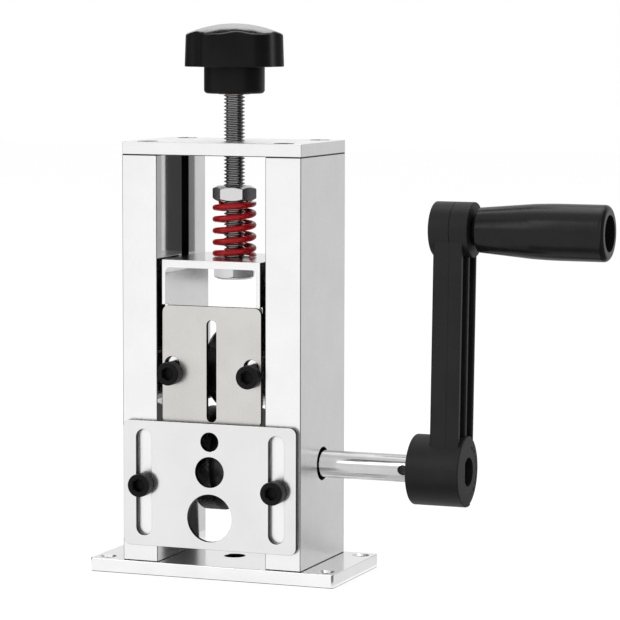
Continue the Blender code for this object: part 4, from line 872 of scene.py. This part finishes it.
def make_sight_plate():
    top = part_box("sight_plate")[1].z
    plate, ends = blank_sheet("sight_plate")
    middle_z = top - SIGHT_SLOT_TOP_MARGIN - SIGHT_SLOT[1] / 2
    cut(plate, prism(upright_slot((0, middle_z), SIGHT_SLOT), "Y", *ends))
    for side in SIDES:
        screw = middle_of(f"{side}_sight_screw")
        slot = upright_slot((screw.x, screw.z + SIGHT_SIDE_SLOT_RISE), SIGHT_SIDE_SLOT)
        cut(plate, prism(slot, "Y", *ends))
    finish_sheet(plate, "sight_plate", "sight")


# Carriage


def make_bracket():
    low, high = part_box("carriage_bracket")
    leg_x = high.x - BRACKET_LEG
    web_z = high.z - BRACKET_WEB
    radius = BRACKET_BEND
    outline = [(low.x, high.z), (low.x, low.z), (-leg_x, low.z)]
    outline += arc((-leg_x + radius, web_z - radius), radius, pi, pi / 2, CORNER_STEPS)
    outline += arc((leg_x - radius, web_z - radius), radius, pi / 2, 0, CORNER_STEPS)
    outline += [(leg_x, low.z), (high.x, low.z), (high.x, high.z)]
    bracket = piece_of("carriage_bracket", prism(outline, "Y", low.y, high.y))
    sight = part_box("sight_plate")[1]
    seat_low = (low.x - OVERRUN, low.y - OVERRUN, low.z - OVERRUN)
    seat_high = (high.x + OVERRUN, sight.y + SEAT_GAP, sight.z + BRACKET_SEAT_GAP)
    cut(bracket, block(seat_low, seat_high))
    cut(bracket, rod(TAPPED_HOLE_RADIUS, web_z - OVERRUN, high.z + OVERRUN, "Z"))
    dress(round_edges(bracket, SHEET_BEVEL), "carriage_bracket", "bracket")


# Blade, roller and shaft


def in_cross_hole(face, hole_x):
    near = abs(face.center.x - hole_x) < CROSS_HOLE_RADIUS
    return near and abs(face.normal.x) > CROSS_HOLE_FACING


def make_shaft():
    low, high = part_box("drive_shaft")
    radius, centre = round_size("drive_shaft")
    shaft = piece_of("drive_shaft", tube(radius, 0, low.x, high.x, SHAFT_EDGE, "X", centre))
    hole_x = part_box("crank_arm")[0].x - CROSS_HOLE_SETBACK
    flare = SHEET_BEVEL
    place = (hole_x, centre[1])
    hole = flared_hole(CROSS_HOLE_RADIUS, flare, 2 * flare, -radius, radius, "Y", place)
    reach = radius + OVERRUN
    flat_low = (high.x - SHAFT_FLAT_LENGTH, radius - SHAFT_FLAT_DEPTH, centre[1] - reach)
    flat_high = (high.x + OVERRUN, reach, centre[1] + reach)
    cut(shaft, hole, block(flat_low, flat_high))
    dress(shaft, "drive_shaft", "shaft")
    # Painted shade: near-black inside the cross hole.
    paint(shaft, "rim", lambda face: in_cross_hole(face, hole_x))


def make_roller():
    """The feed roller, with crossed knurling either side of the blade's groove."""
    low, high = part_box("feed_roller")
    radius, centre = round_size("feed_roller")
    bore = shaft_bore()
    groove = ROLLER_GROOVE_WIDTH / 2
    floor = radius - ROLLER_GROOVE_DEPTH
    edge = SHAFT_EDGE
    steps = ROLLER_KNURL_STEPS
    stations = [(bore, low.x, 0), (radius - edge, low.x, 0)]
    for start, end in ((low.x + edge, -groove), (groove, high.x - edge)):
        places = [start + (end - start) * i / steps for i in range(steps + 1)]
        band = [(radius, x, ROLLER_KNURL_DEPTH) for x in places]
        stations += band + [(floor, end, 0)] if end < 0 else [(floor, start, 0)] + band
    stations += [(radius - edge, high.x, 0), (bore, high.x, 0)]
    pitch = radius * 2 * pi / ROLLER_TEETH

    def tooth(i, x):
        count = i / ROLLER_TOOTH_SIDES
        wave = max(abs((count + x / pitch) % 1 - 0.5), abs((count - x / pitch) % 1 - 0.5)) * 2
        return wave**ROLLER_TOOTH_SHARPNESS

    sides = ROLLER_TEETH * ROLLER_TOOTH_SIDES
    roller = piece_of("feed_roller", knurled(stations, "X", sides, centre, tooth))
    place = (high.x * ROLLER_SCREW_SHARE, centre[1])
    hole = rod(ROLLER_SCREW_RADIUS, bore - OVERRUN, radius + OVERRUN, "Y", HOLE_SIDES, place)
    dress(cut(roller, hole), "feed_roller", "tool")


def make_blade():
    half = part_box("blade_disc")[1].x
    radius, centre = round_size("blade_disc")
    bore = round_size("blade_bush")[0] + SEAT_GAP
    bevel = radius - BLADE_BEVEL_DEPTH
    flat = half * BLADE_FLAT_SHARE
    profile = [(bore, -half), (bevel, -half), (radius, -flat)]
    profile += [(radius, flat), (bevel, half), (bore, half)]
    disc = piece_of("blade_disc", turned(profile, "X", FINE_SIDES, centre))
    dress(disc, "blade_disc", "shaft")
    for side_name, side in zip(SIDES, (-1, 1)):
        node = f"{side_name}_blade_collar"
        low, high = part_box(node)
        inner, outer = sorted((abs(low.x), abs(high.x)))
        radius = round_size(node)[0]
        profile = [(bore, inner), (radius, inner), (radius, outer - COLLAR_CHAMFER)]
        profile += [(radius - COLLAR_CHAMFER, outer), (bore, outer)]
        collar = turned([(r, side * x) for r, x in profile], "X", FINE_SIDES, centre)
        dress(piece_of(node, collar), node, "tool")


# Crank


def place_in_crank(piece):
    """Takes a piece from the crank's own frame, with its arm upright, to its place."""
    shaft = middle_of("drive_shaft")
    piece.data.transform(Matrix.Translation((0, 0, shaft.z)) @ Matrix.Rotation(-CRANK_TILT, 4, "X"))
    return piece


def hub(radius, start, end, z, edge):
    """A hub with rounded ends."""
    angles = (0, pi / 6, pi / 3, pi / 2)
    corner = [(radius - edge + edge * sin(a), edge - edge * cos(a)) for a in angles]
    profile = [(0, start)] + [(out, start + along) for out, along in corner]
    profile += [(out, end - along) for out, along in reversed(corner)] + [(0, end)]
    return turned(profile, "X", FINE_SIDES, (0, z))


def socket_outline():
    """The round socket, with a flat on its front side, that shows in the hub's outer face."""
    half_angle = pi - acos(SOCKET_FLAT_Y / SOCKET_RADIUS)
    return arc((0, 0), SOCKET_RADIUS, -half_angle, half_angle, SMALL_SIDES)


def hub_step(end_x):
    """The lower level of the hub's outer face: its back part, outside a disc round the socket."""
    half_angle = acos(HUB_STEP_Y / HUB_STEP_RADIUS)
    reach = LOWER_HUB_RADIUS + OVERRUN
    outline = [(HUB_STEP_Y, -reach)]
    outline += arc((0, 0), HUB_STEP_RADIUS, -half_angle, half_angle, SMALL_SIDES)
    outline += [(HUB_STEP_Y, reach), (reach, reach), (reach, -reach)]
    return prism(outline, "X", end_x - HUB_STEP_DEPTH, end_x + OVERRUN)


def hub_groove(end_x):
    """A fine groove along the step's edge."""
    half_angle = acos(HUB_STEP_Y / HUB_STEP_RADIUS)
    inner = HUB_STEP_RADIUS - HUB_GROOVE_WIDTH
    outline = arc((0, 0), HUB_STEP_RADIUS, -half_angle, half_angle, SMALL_SIDES)
    outline += arc((0, 0), inner, half_angle, -half_angle, SMALL_SIDES)
    return prism(outline, "X", end_x - 2 * HUB_STEP_DEPTH, end_x + OVERRUN)


def parting_ring(radius, z, x):
    half = PARTING_WIDTH / 2
    inner = radius - 2 * PARTING_RISE
    outer = radius + PARTING_RISE
    profile = [(inner, x - half), (outer, x - half / 2), (outer, x + half / 2), (inner, x + half)]
    return turned(profile, "X", FINE_SIDES, (0, z))


def make_crank_arm():
    low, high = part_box("crank_arm")
    upper_end = high.x
    hub_end = upper_end - UPPER_HUB_STANDOUT
    outer_x = hub_end - ARM_FACE_INSET
    inner_x = outer_x - ARM_THICKNESS
    bar = block((inner_x, -ARM_HALF_WIDTH, 0), (outer_x, ARM_HALF_WIDTH, CRANK_RADIUS))
    arm = piece_of("crank_arm", bar)
    floor_x = outer_x - ARM_CHANNEL_DEPTH
    open_z = (LOWER_HUB_RADIUS / 2, CRANK_RADIUS - UPPER_HUB_RADIUS / 2)
    for side in (-1, 1):
        y = sorted((side * ARM_RIB / 2, side * (ARM_HALF_WIDTH - ARM_FLANGE)))
        cut(arm, block((floor_x, y[0], open_z[0]), (outer_x + OVERRUN, y[1], open_z[1])))
    round_edges(arm, ARM_BEVEL, 1)
    lower = hub(LOWER_HUB_RADIUS, low.x, hub_end, 0, ARM_BEVEL)
    upper = hub(UPPER_HUB_RADIUS, upper_end - UPPER_HUB_LENGTH, upper_end, CRANK_RADIUS, ARM_BEVEL)
    carve(arm, "UNION", lower, upper)

    bore_end = low.x + HUB_BORE_LENGTH
    cut(arm, rod(shaft_bore(), low.x - OVERRUN, bore_end, "X"))
    cut(arm, prism(socket_outline(), "X", bore_end - OVERRUN, hub_end + OVERRUN), hub_step(hub_end))
    cut(arm, hub_groove(hub_end))
    start = upper_end - SPINDLE_ENGAGEMENT - SEAT_GAP
    top = (0, CRANK_RADIUS)
    cut(arm, rod(SPINDLE_RADIUS + SEAT_GAP, start, upper_end + OVERRUN, "X", centre=top))
    screw = middle_of("crank_set_screw")
    screw_low, screw_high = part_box("crank_set_screw")
    screw_radius = (screw_high.x - screw_low.x) / 2 + SEAT_GAP
    cut(arm, rod(screw_radius, 0, LOWER_HUB_RADIUS + OVERRUN, "Y", centre=(screw.x, 0)))

    line_x = hub_end - PARTING_OFFSET
    half = PARTING_WIDTH / 2
    line_low = (line_x - half, -ARM_HALF_WIDTH - PARTING_RISE, open_z[0])
    line_high = (line_x + half, -ARM_HALF_WIDTH + ARM_BEVEL, open_z[1])
    carve(arm, "UNION", block(line_low, line_high))
    carve(arm, "UNION", parting_ring(UPPER_HUB_RADIUS, CRANK_RADIUS, line_x))
    dress(place_in_crank(arm), "crank_arm", "matte")


def grip_outside(start_x, end_x):
    """The grip's outer (radius, place along the axis) points, from its neck to its end."""
    length = end_x - start_x
    waist_x = start_x + length * GRIP_WAIST_SHARE
    belly_x = start_x + length * GRIP_BELLY_SHARE
    centre = (start_x + GRIP_INNER_ROUND, GRIP_NECK_RADIUS - GRIP_INNER_ROUND)
    points = arc(centre, GRIP_INNER_ROUND, pi, pi / 2, CORNER_STEPS // 2)
    for i in range(CORNER_STEPS + 1):
        share = i / CORNER_STEPS
        radius = GRIP_WAIST_RADIUS + (GRIP_RADIUS - GRIP_WAIST_RADIUS) * sin(pi / 2 * share)
        points.append((waist_x + (belly_x - waist_x) * share, radius))
    centre = (end_x - GRIP_END_ROUND, GRIP_RADIUS - GRIP_END_ROUND)
    points += arc(centre, GRIP_END_ROUND, pi / 2, 0, CORNER_STEPS)
    return [(out, along) for along, out in points]


def make_grip():
    low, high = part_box("grip")
    floor_x = high.x - GRIP_RECESS_DEPTH
    edge = SHEET_BEVEL
    bore = SPINDLE_RADIUS + SEAT_GAP
    axis = (0, CRANK_RADIUS)
    profile = grip_outside(low.x, high.x)
    profile += [(GRIP_RECESS_RADIUS + edge, high.x), (GRIP_RECESS_RADIUS, high.x - edge)]
    profile += [(GRIP_RECESS_RADIUS, floor_x), (bore, floor_x), (bore, low.x)]
    grip = piece_of("grip", turned(profile, "X", FINE_SIDES, axis))
    dress(place_in_crank(grip), "grip", "gloss")

    hub_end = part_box("crank_arm")[1].x
    shank, neck, head = SPINDLE_RADIUS, SPINDLE_NECK_RADIUS, SPINDLE_HEAD_RADIUS
    head_start = floor_x + SEAT_GAP
    head_end = head_start + SPINDLE_HEAD_HEIGHT
    start = hub_end - SPINDLE_ENGAGEMENT
    neck_start, neck_end = hub_end + SEAT_GAP, low.x - SEAT_GAP
    profile = [(0, start), (shank, start), (shank, neck_start), (neck, neck_start)]
    profile += [(neck, neck_end), (shank, neck_end), (shank, head_start), (head, head_start)]
    profile += [(head, head_end - edge), (head - edge, head_end), (0, head_end)]
    spindle = piece_of("spindle", turned(profile, "X", FINE_SIDES, axis))
    socket = hexagon(SPINDLE_SOCKET_WIDTH, 0.0, axis)
    cut(spindle, prism(socket, "X", head_end - SPINDLE_SOCKET_DEPTH, head_end + OVERRUN))
    dress(place_in_crank(spindle), "grip_spindle", "black")


# Pressure screw, nut and spring


def hex_solid(across_flats, bottom, top, turn, both_ends):
    """A hexagon with rounded chamfers on its corners, below, and above too for a nut."""
    solid = piece_of("hexagon", prism(hexagon(across_flats, turn), "Z", bottom, top))
    corner = across_flats / 2 / cos(pi / 6)
    flat = across_flats / 2 * HEX_FLAT_SHARE
    drop = (corner - flat) * HEX_CHAMFER_SHARE
    profile = [(0, bottom), (flat, bottom), (corner, bottom + drop)]
    if both_ends:
        profile += [(corner, top - drop), (flat, top), (0, top)]
    else:
        profile += [(corner, top + OVERRUN), (0, top + OVERRUN)]
    return carve(solid, "INTERSECT", turned(profile, "Z"))


def thread_height(share):
    """The thread's height at a share of its pitch: flat root, flank, narrow crest, flank."""
    root, flank = THREAD_ROOT_SHARE, THREAD_FLANK_SHARE
    if share < root:
        return 0.0
    return min(1.0, (share - root) / flank, (1 - share) / flank)


def threaded_rod(start, end):
    """A helical thread. Each column is the same profile, shifted up by its part of a turn."""
    root, flank = THREAD_ROOT_SHARE, THREAD_FLANK_SHARE
    shares = (0.0, root, root + flank / 2, root + flank, 1 - flank, 1 - flank / 2)
    turns = int((end - start) / THREAD_PITCH) + 3
    mesh = bmesh.new()
    columns = []
    for j in range(THREAD_SIDES):
        angle = 2 * pi * j / THREAD_SIDES
        column = []
        for k in range((turns + 1) * len(shares)):
            share = shares[k % len(shares)]
            z = start + THREAD_PITCH * (k // len(shares) + share - 1 + j / THREAD_SIDES)
            z = min(max(z, start), end)
            ramp = min(1.0, (z - start) / THREAD_RUNOUT, (end - z) / THREAD_RUNOUT)
            radius = THREAD_ROOT + (THREAD_CREST - THREAD_ROOT) * thread_height(share) * ramp
            column.append(mesh.verts.new((radius * cos(angle), radius * sin(angle), z)))
        columns.append(column)
    count = len(columns[0])
    for j in range(THREAD_SIDES):
        after = columns[(j + 1) % THREAD_SIDES]
        shift = len(shares) if j == THREAD_SIDES - 1 else 0
        for k in range(count - 1):
            if k + 1 + shift < count:
                corners = (columns[j][k], after[k + shift], after[k + 1 + shift], columns[j][k + 1])
                mesh.faces.new(corners)
    bmesh.ops.remove_doubles(mesh, verts=mesh.verts, dist=WELD_GAP)
    loose = [vertex for vertex in mesh.verts if not vertex.link_faces]
    bmesh.ops.delete(mesh, geom=loose, context="VERTS")
    ends = [edge for edge in mesh.edges if edge.is_boundary]
    bmesh.ops.contextual_create(mesh, geom=ends)
    bmesh.ops.holes_fill(mesh, edges=[edge for edge in mesh.edges if edge.is_boundary], sides=0)
    bmesh.ops.recalc_face_normals(mesh, faces=mesh.faces)
    return mesh


def make_pressure_screw():
    low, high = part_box("pressure_screw")
    head_top = low.z + HEX_HEAD_HEIGHT
    screw = hex_solid(HEX_HEAD_FLATS, low.z, head_top, HEX_HEAD_TURN, False)
    round_edges(screw, HEX_EDGE, 2)
    carve(screw, "UNION", threaded_rod(head_top - OVERRUN, high.z))
    dress(screw, "pressure_screw", "thread")
    paint(screw, "nut", lambda face: face.center.z < head_top + HEX_EDGE)

    low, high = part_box("spring_nut")
    nut = hex_solid(NUT_FLATS, low.z, high.z, NUT_TURN, True)
    round_edges(nut, HEX_EDGE, 2)
    hole = flared_hole(NUT_BORE, NUT_FLARE, NUT_FLARE, low.z, high.z, "Z")
    dress(cut(nut, hole), "spring_nut", "nut")


def spring_rise_share(turn):
    """How far the wire has risen after some turns. The pitch eases in and out at the ends."""
    closing = SPRING_CLOSING_TURNS
    whole = SPRING_TURNS - closing
    if turn < closing:
        risen = turn * turn / (2 * closing)
    elif turn > SPRING_TURNS - closing:
        left = SPRING_TURNS - turn
        risen = whole - left * left / (2 * closing)
    else:
        risen = turn - closing / 2
    return risen / whole


def make_spring():
    box_low, box_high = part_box("pressure_spring")
    mean_radius = SPRING_OUTER_RADIUS - WIRE_RADIUS
    low = box_low.z + WIRE_RADIUS - SPRING_GROUND_DEPTH
    high = box_high.z - WIRE_RADIUS + SPRING_GROUND_DEPTH
    steps = round(SPRING_TURNS * SPRING_POINTS_PER_TURN)
    points = []
    for i in range(steps + 1):
        turn = SPRING_TURNS * i / steps
        angle = SPRING_START_ANGLE + 2 * pi * turn
        height = low + (high - low) * spring_rise_share(turn)
        points.append(Vector((mean_radius * cos(angle), mean_radius * sin(angle), height)))
    first, last = SPRING_START_ANGLE, SPRING_START_ANGLE + 2 * pi * SPRING_TURNS
    tip = 2 * WIRE_RADIUS
    points.insert(0, points[0] + tip * Vector((sin(first), -cos(first), 0)))
    points.append(points[-1] + tip * Vector((-sin(last), cos(last), 0)))

    rings = []
    for i, point in enumerate(points):
        before = points[max(i - 1, 0)]
        after = points[min(i + 1, len(points) - 1)]
        along = (after - before).normalized()
        across = along.cross(Vector((0, 0, 1))).normalized()
        upward = across.cross(along)
        ring = [point + across * a + upward * b for a, b in circle((0, 0), WIRE_RADIUS, WIRE_SIDES)]
        rings.append(ring)
    mesh = bmesh.new()
    verts = bridge(mesh, rings, False)
    mesh.faces.new(verts[0])
    mesh.faces.new(verts[-1])
    bmesh.ops.recalc_face_normals(mesh, faces=mesh.faces)
    spring = piece_of("pressure_spring", mesh)
    reach = SPRING_OUTER_RADIUS + 2 * WIRE_RADIUS
    carve(spring, "INTERSECT", rod(reach, box_low.z, box_high.z, "Z"))
    dress(spring, "pressure_spring", "red")


# Knob


def knob_ring(radius, depth, z, dip):
    """A ring of the knob, with its scallops' depth, and how far they drag it down."""
    ring = []
    for i in range(KNOB_SIDES):
        angle = 2 * pi * i / KNOB_SIDES
        scallop = ((1 + cos(KNOB_LOBES * angle)) / 2) ** KNOB_SCALLOP_SHARPNESS
        out = radius - depth * scallop
        turned_angle = angle + KNOB_TURN
        ring.append((out * cos(turned_angle), out * sin(turned_angle), z - dip * scallop))
    return ring


def make_knob():
    low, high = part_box("knob")
    skirt_z = low.z + KNOB_COLLAR_HEIGHT
    shoulder_z = skirt_z + KNOB_SKIRT_HEIGHT - KNOB_SHOULDER
    depth, dip = KNOB_SCALLOP_DEPTH, KNOB_SCALLOP_DIP
    bore = INSERT_RADIUS + SEAT_GAP
    bore_z = low.z + INSERT_HEIGHT + SEAT_GAP
    rings = [[(0, 0, bore_z)], knob_ring(bore, 0, bore_z, 0), knob_ring(bore, 0, low.z, 0)]
    fillet = KNOB_COLLAR_FILLET
    centre = (KNOB_COLLAR_RADIUS - fillet, low.z + fillet)
    for out, z in arc(centre, fillet, -pi / 2, 0, CORNER_STEPS):
        rings.append(knob_ring(out, 0, z, 0))
    rings.append(knob_ring(KNOB_COLLAR_RADIUS, 0, skirt_z, 0))

    base = KNOB_RADIUS + KNOB_DRAFT
    edge_z = skirt_z + KNOB_EDGE
    for out, z in arc((base - KNOB_EDGE, edge_z), KNOB_EDGE, -pi / 2, 0, CORNER_STEPS // 2):
        rings.append(knob_ring(out, depth, z, 0))
    top = KNOB_RADIUS - KNOB_DRAFT
    steps = CORNER_STEPS
    for i in range(1, steps):
        share = i / steps
        out = base + (top - base) * share
        rings.append(knob_ring(out, depth, edge_z + (shoulder_z - edge_z) * share, 0))
    centre = (top - KNOB_SHOULDER, shoulder_z)
    for out, z in arc(centre, KNOB_SHOULDER, 0, KNOB_SHOULDER_SWEEP, CORNER_STEPS // 2):
        rings.append(knob_ring(out, depth, z, dip))
    dome_radius, dome_z = out, z
    for i in range(1, 2 * steps):
        left = 1 - i / (2 * steps)
        fade = left**KNOB_FADE_POWER
        height = (high.z - dome_z) * (1 - left**KNOB_DOME_POWER)
        rings.append(knob_ring(dome_radius * left, depth * fade, dome_z + height, dip * fade))
    rings.append([(0, 0, high.z)])
    mesh = bmesh.new()
    bridge(mesh, rings, False)
    knob = dress(piece_of("knob", mesh), "knob", "black")
    paint(knob, "sheen", lambda face: face.normal.z > DOME_FACING)


# The nodes that keep their CAD shape


def keep_nodes():
    for kind, nodes in KEPT_NODES.items():
        for node in nodes:
            for slot in frame["nodes"][node].material_slots:
                slot.material = MATERIALS[kind]


# Stage


def seen_rays(tree, share):
    """How much of the plain white background camera, glossy and transmission rays see."""
    path = add_node(tree, "ShaderNodeLightPath")
    seen = path.outputs["Is Camera Ray"]
    for kind in ("Is Glossy Ray", "Is Transmission Ray"):
        either = add_node(tree, "ShaderNodeMath")
        either.operation = "MAXIMUM"
        tree.links.new(seen, either.inputs[0])
        tree.links.new(path.outputs[kind], either.inputs[1])
        seen = either.outputs[0]
    scale = add_node(tree, "ShaderNodeMath")
    scale.operation = "MULTIPLY"
    scale.inputs[1].default_value = share
    tree.links.new(seen, scale.inputs[0])
    return scale.outputs[0]


def show_white(tree, plain, white, share, output_kind):
    """Mixes a plain shader with a white one that only the seen rays meet, by a share."""
    mix = add_node(tree, "ShaderNodeMixShader")
    output = add_node(tree, output_kind)
    tree.links.new(seen_rays(tree, share), mix.inputs["Fac"])
    tree.links.new(plain.outputs[0], mix.inputs[1])
    tree.links.new(white.outputs[0], mix.inputs[2])
    tree.links.new(mix.outputs[0], output.inputs["Surface"])


def empty_tree(owner):
    owner.use_nodes = True
    owner.node_tree.nodes.clear()
    return owner.node_tree


def make_floor():
    mesh = bmesh.new()
    half = FLOOR_HALF
    corners = ((-half, -half, 0), (half, -half, 0), (half, half, 0), (-half, half, 0))
    mesh.faces.new([mesh.verts.new(corner) for corner in corners])
    floor = piece_of("floor", mesh)
    material = bpy.data.materials.new("white_floor")
    tree = empty_tree(material)
    diffuse = add_node(tree, "ShaderNodeBsdfDiffuse", Color=FLOOR_COLOUR)
    glow = add_node(tree, "ShaderNodeEmission", Strength=FLOOR_GLOW)
    show_white(tree, diffuse, glow, FLOOR_GLOW_SHARE, "ShaderNodeOutputMaterial")
    floor.data.materials.append(material)


def make_world():
    world = bpy.data.worlds.new("studio")
    bpy.context.scene.world = world
    tree = empty_tree(world)
    soft = add_node(tree, "ShaderNodeBackground", Color=WHITE, Strength=WORLD_STRENGTH)
    white = add_node(tree, "ShaderNodeBackground", Color=WHITE)
    show_white(tree, soft, white, 1.0, "ShaderNodeOutputWorld")


def hang_flag(name, lines, tone):
    """A grey studio flag between lines of points. Only reflections see it."""
    mesh = bmesh.new()
    rows = [[mesh.verts.new(point) for point in line] for line in lines]
    for first, second in zip(rows, rows[1:]):
        for i in range(len(first) - 1):
            mesh.faces.new((first[i], first[i + 1], second[i + 1], second[i]))
    flag = piece_of(name, mesh)
    material = bpy.data.materials.new(name)
    tree = empty_tree(material)
    glow = add_node(tree, "ShaderNodeEmission", Strength=tone)
    output = add_node(tree, "ShaderNodeOutputMaterial")
    tree.links.new(glow.outputs[0], output.inputs["Surface"])
    flag.data.materials.append(material)
    flag.visible_camera = False
    flag.visible_diffuse = False
    flag.visible_transmission = False
    flag.visible_shadow = False


def bend(radius, start, end, z):
    """A level line between two bearings in degrees, from the front round to the crank side."""
    first, last = radians(start) - pi / 2, radians(end) - pi / 2
    return [(x, y, z) for x, y in arc((0, 0), radius, first, last, FLAG_STEPS)]


def hang_flags():
    for name, start, end, tone in SWEEPS:
        lines = [bend(FLAG_INNER, start, end, FLAG_LIFT), bend(FLAG_RADIUS, start, end, FLAG_LIFT)]
        hang_flag(name, lines + [bend(FLAG_RADIUS, start, end, FLAG_HEIGHT)], tone)
    for name, y, left, right, low, high, tone in STRIPS:
        hang_flag(name, [((left, y, z), (right, y, z)) for z in (low, high)], tone)
    for name, z, *corners, tone in CARDS:
        points = [(x, y, z) for x, y in corners]
        hang_flag(name, [(points[0], points[1]), (points[3], points[2])], tone)
    knob_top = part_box("knob")[1].z
    for name, start, end, tone in CANOPY:
        heights = [knob_top + CANOPY_RADIUS * tan(radians(rise)) for rise in (start, end)]
        hang_flag(name, [bend(CANOPY_RADIUS, *CANOPY_BEARINGS, z) for z in heights], tone)


def add_lamp(name, place, size, power):
    light = bpy.data.lights.new(name, "AREA")
    light.size = size
    light.energy = power
    lamp = add_object(name, light)
    lamp.location = place
    lamp.rotation_euler = (CAMERA_TARGET - Vector(place)).to_track_quat("-Z", "Y").to_euler()


def make_camera():
    camera = add_object("camera", bpy.data.cameras.new("camera"))
    camera.data.lens = CAMERA_LENS
    camera.data.sensor_width = CAMERA_SENSOR
    camera.location = CAMERA_PLACE
    aim = (CAMERA_TARGET - CAMERA_PLACE).to_track_quat("-Z", "Y").to_matrix().to_4x4()
    aim = aim @ Matrix.Rotation(CAMERA_ROLL, 4, "Z")
    camera.rotation_euler = aim.to_euler()
    bpy.context.scene.camera = camera


def make_stage():
    make_floor()
    make_world()
    hang_flags()
    for lamp in LAMPS:
        add_lamp(*lamp)
    bpy.context.scene.view_settings.view_transform = "Standard"


def main():
    make_camera()
    make_stage()
    MATERIALS.update(make_materials())
    make_base_plate()
    make_wall("left", -1)
    make_wall("right", 1)
    make_top_plate()
    make_screws()
    make_guide_plate()
    make_sight_plate()
    make_bracket()
    make_bush("left_shaft_bush", "bronze")
    make_bush("right_shaft_bush", "bronze")
    make_bush("left_roller_spacer", "shaft")
    make_bush("right_roller_spacer", "shaft")
    make_shaft()
    make_roller()
    make_blade()
    make_crank_arm()
    make_grip()
    make_pressure_screw()
    make_spring()
    make_knob()
    keep_nodes()


main()
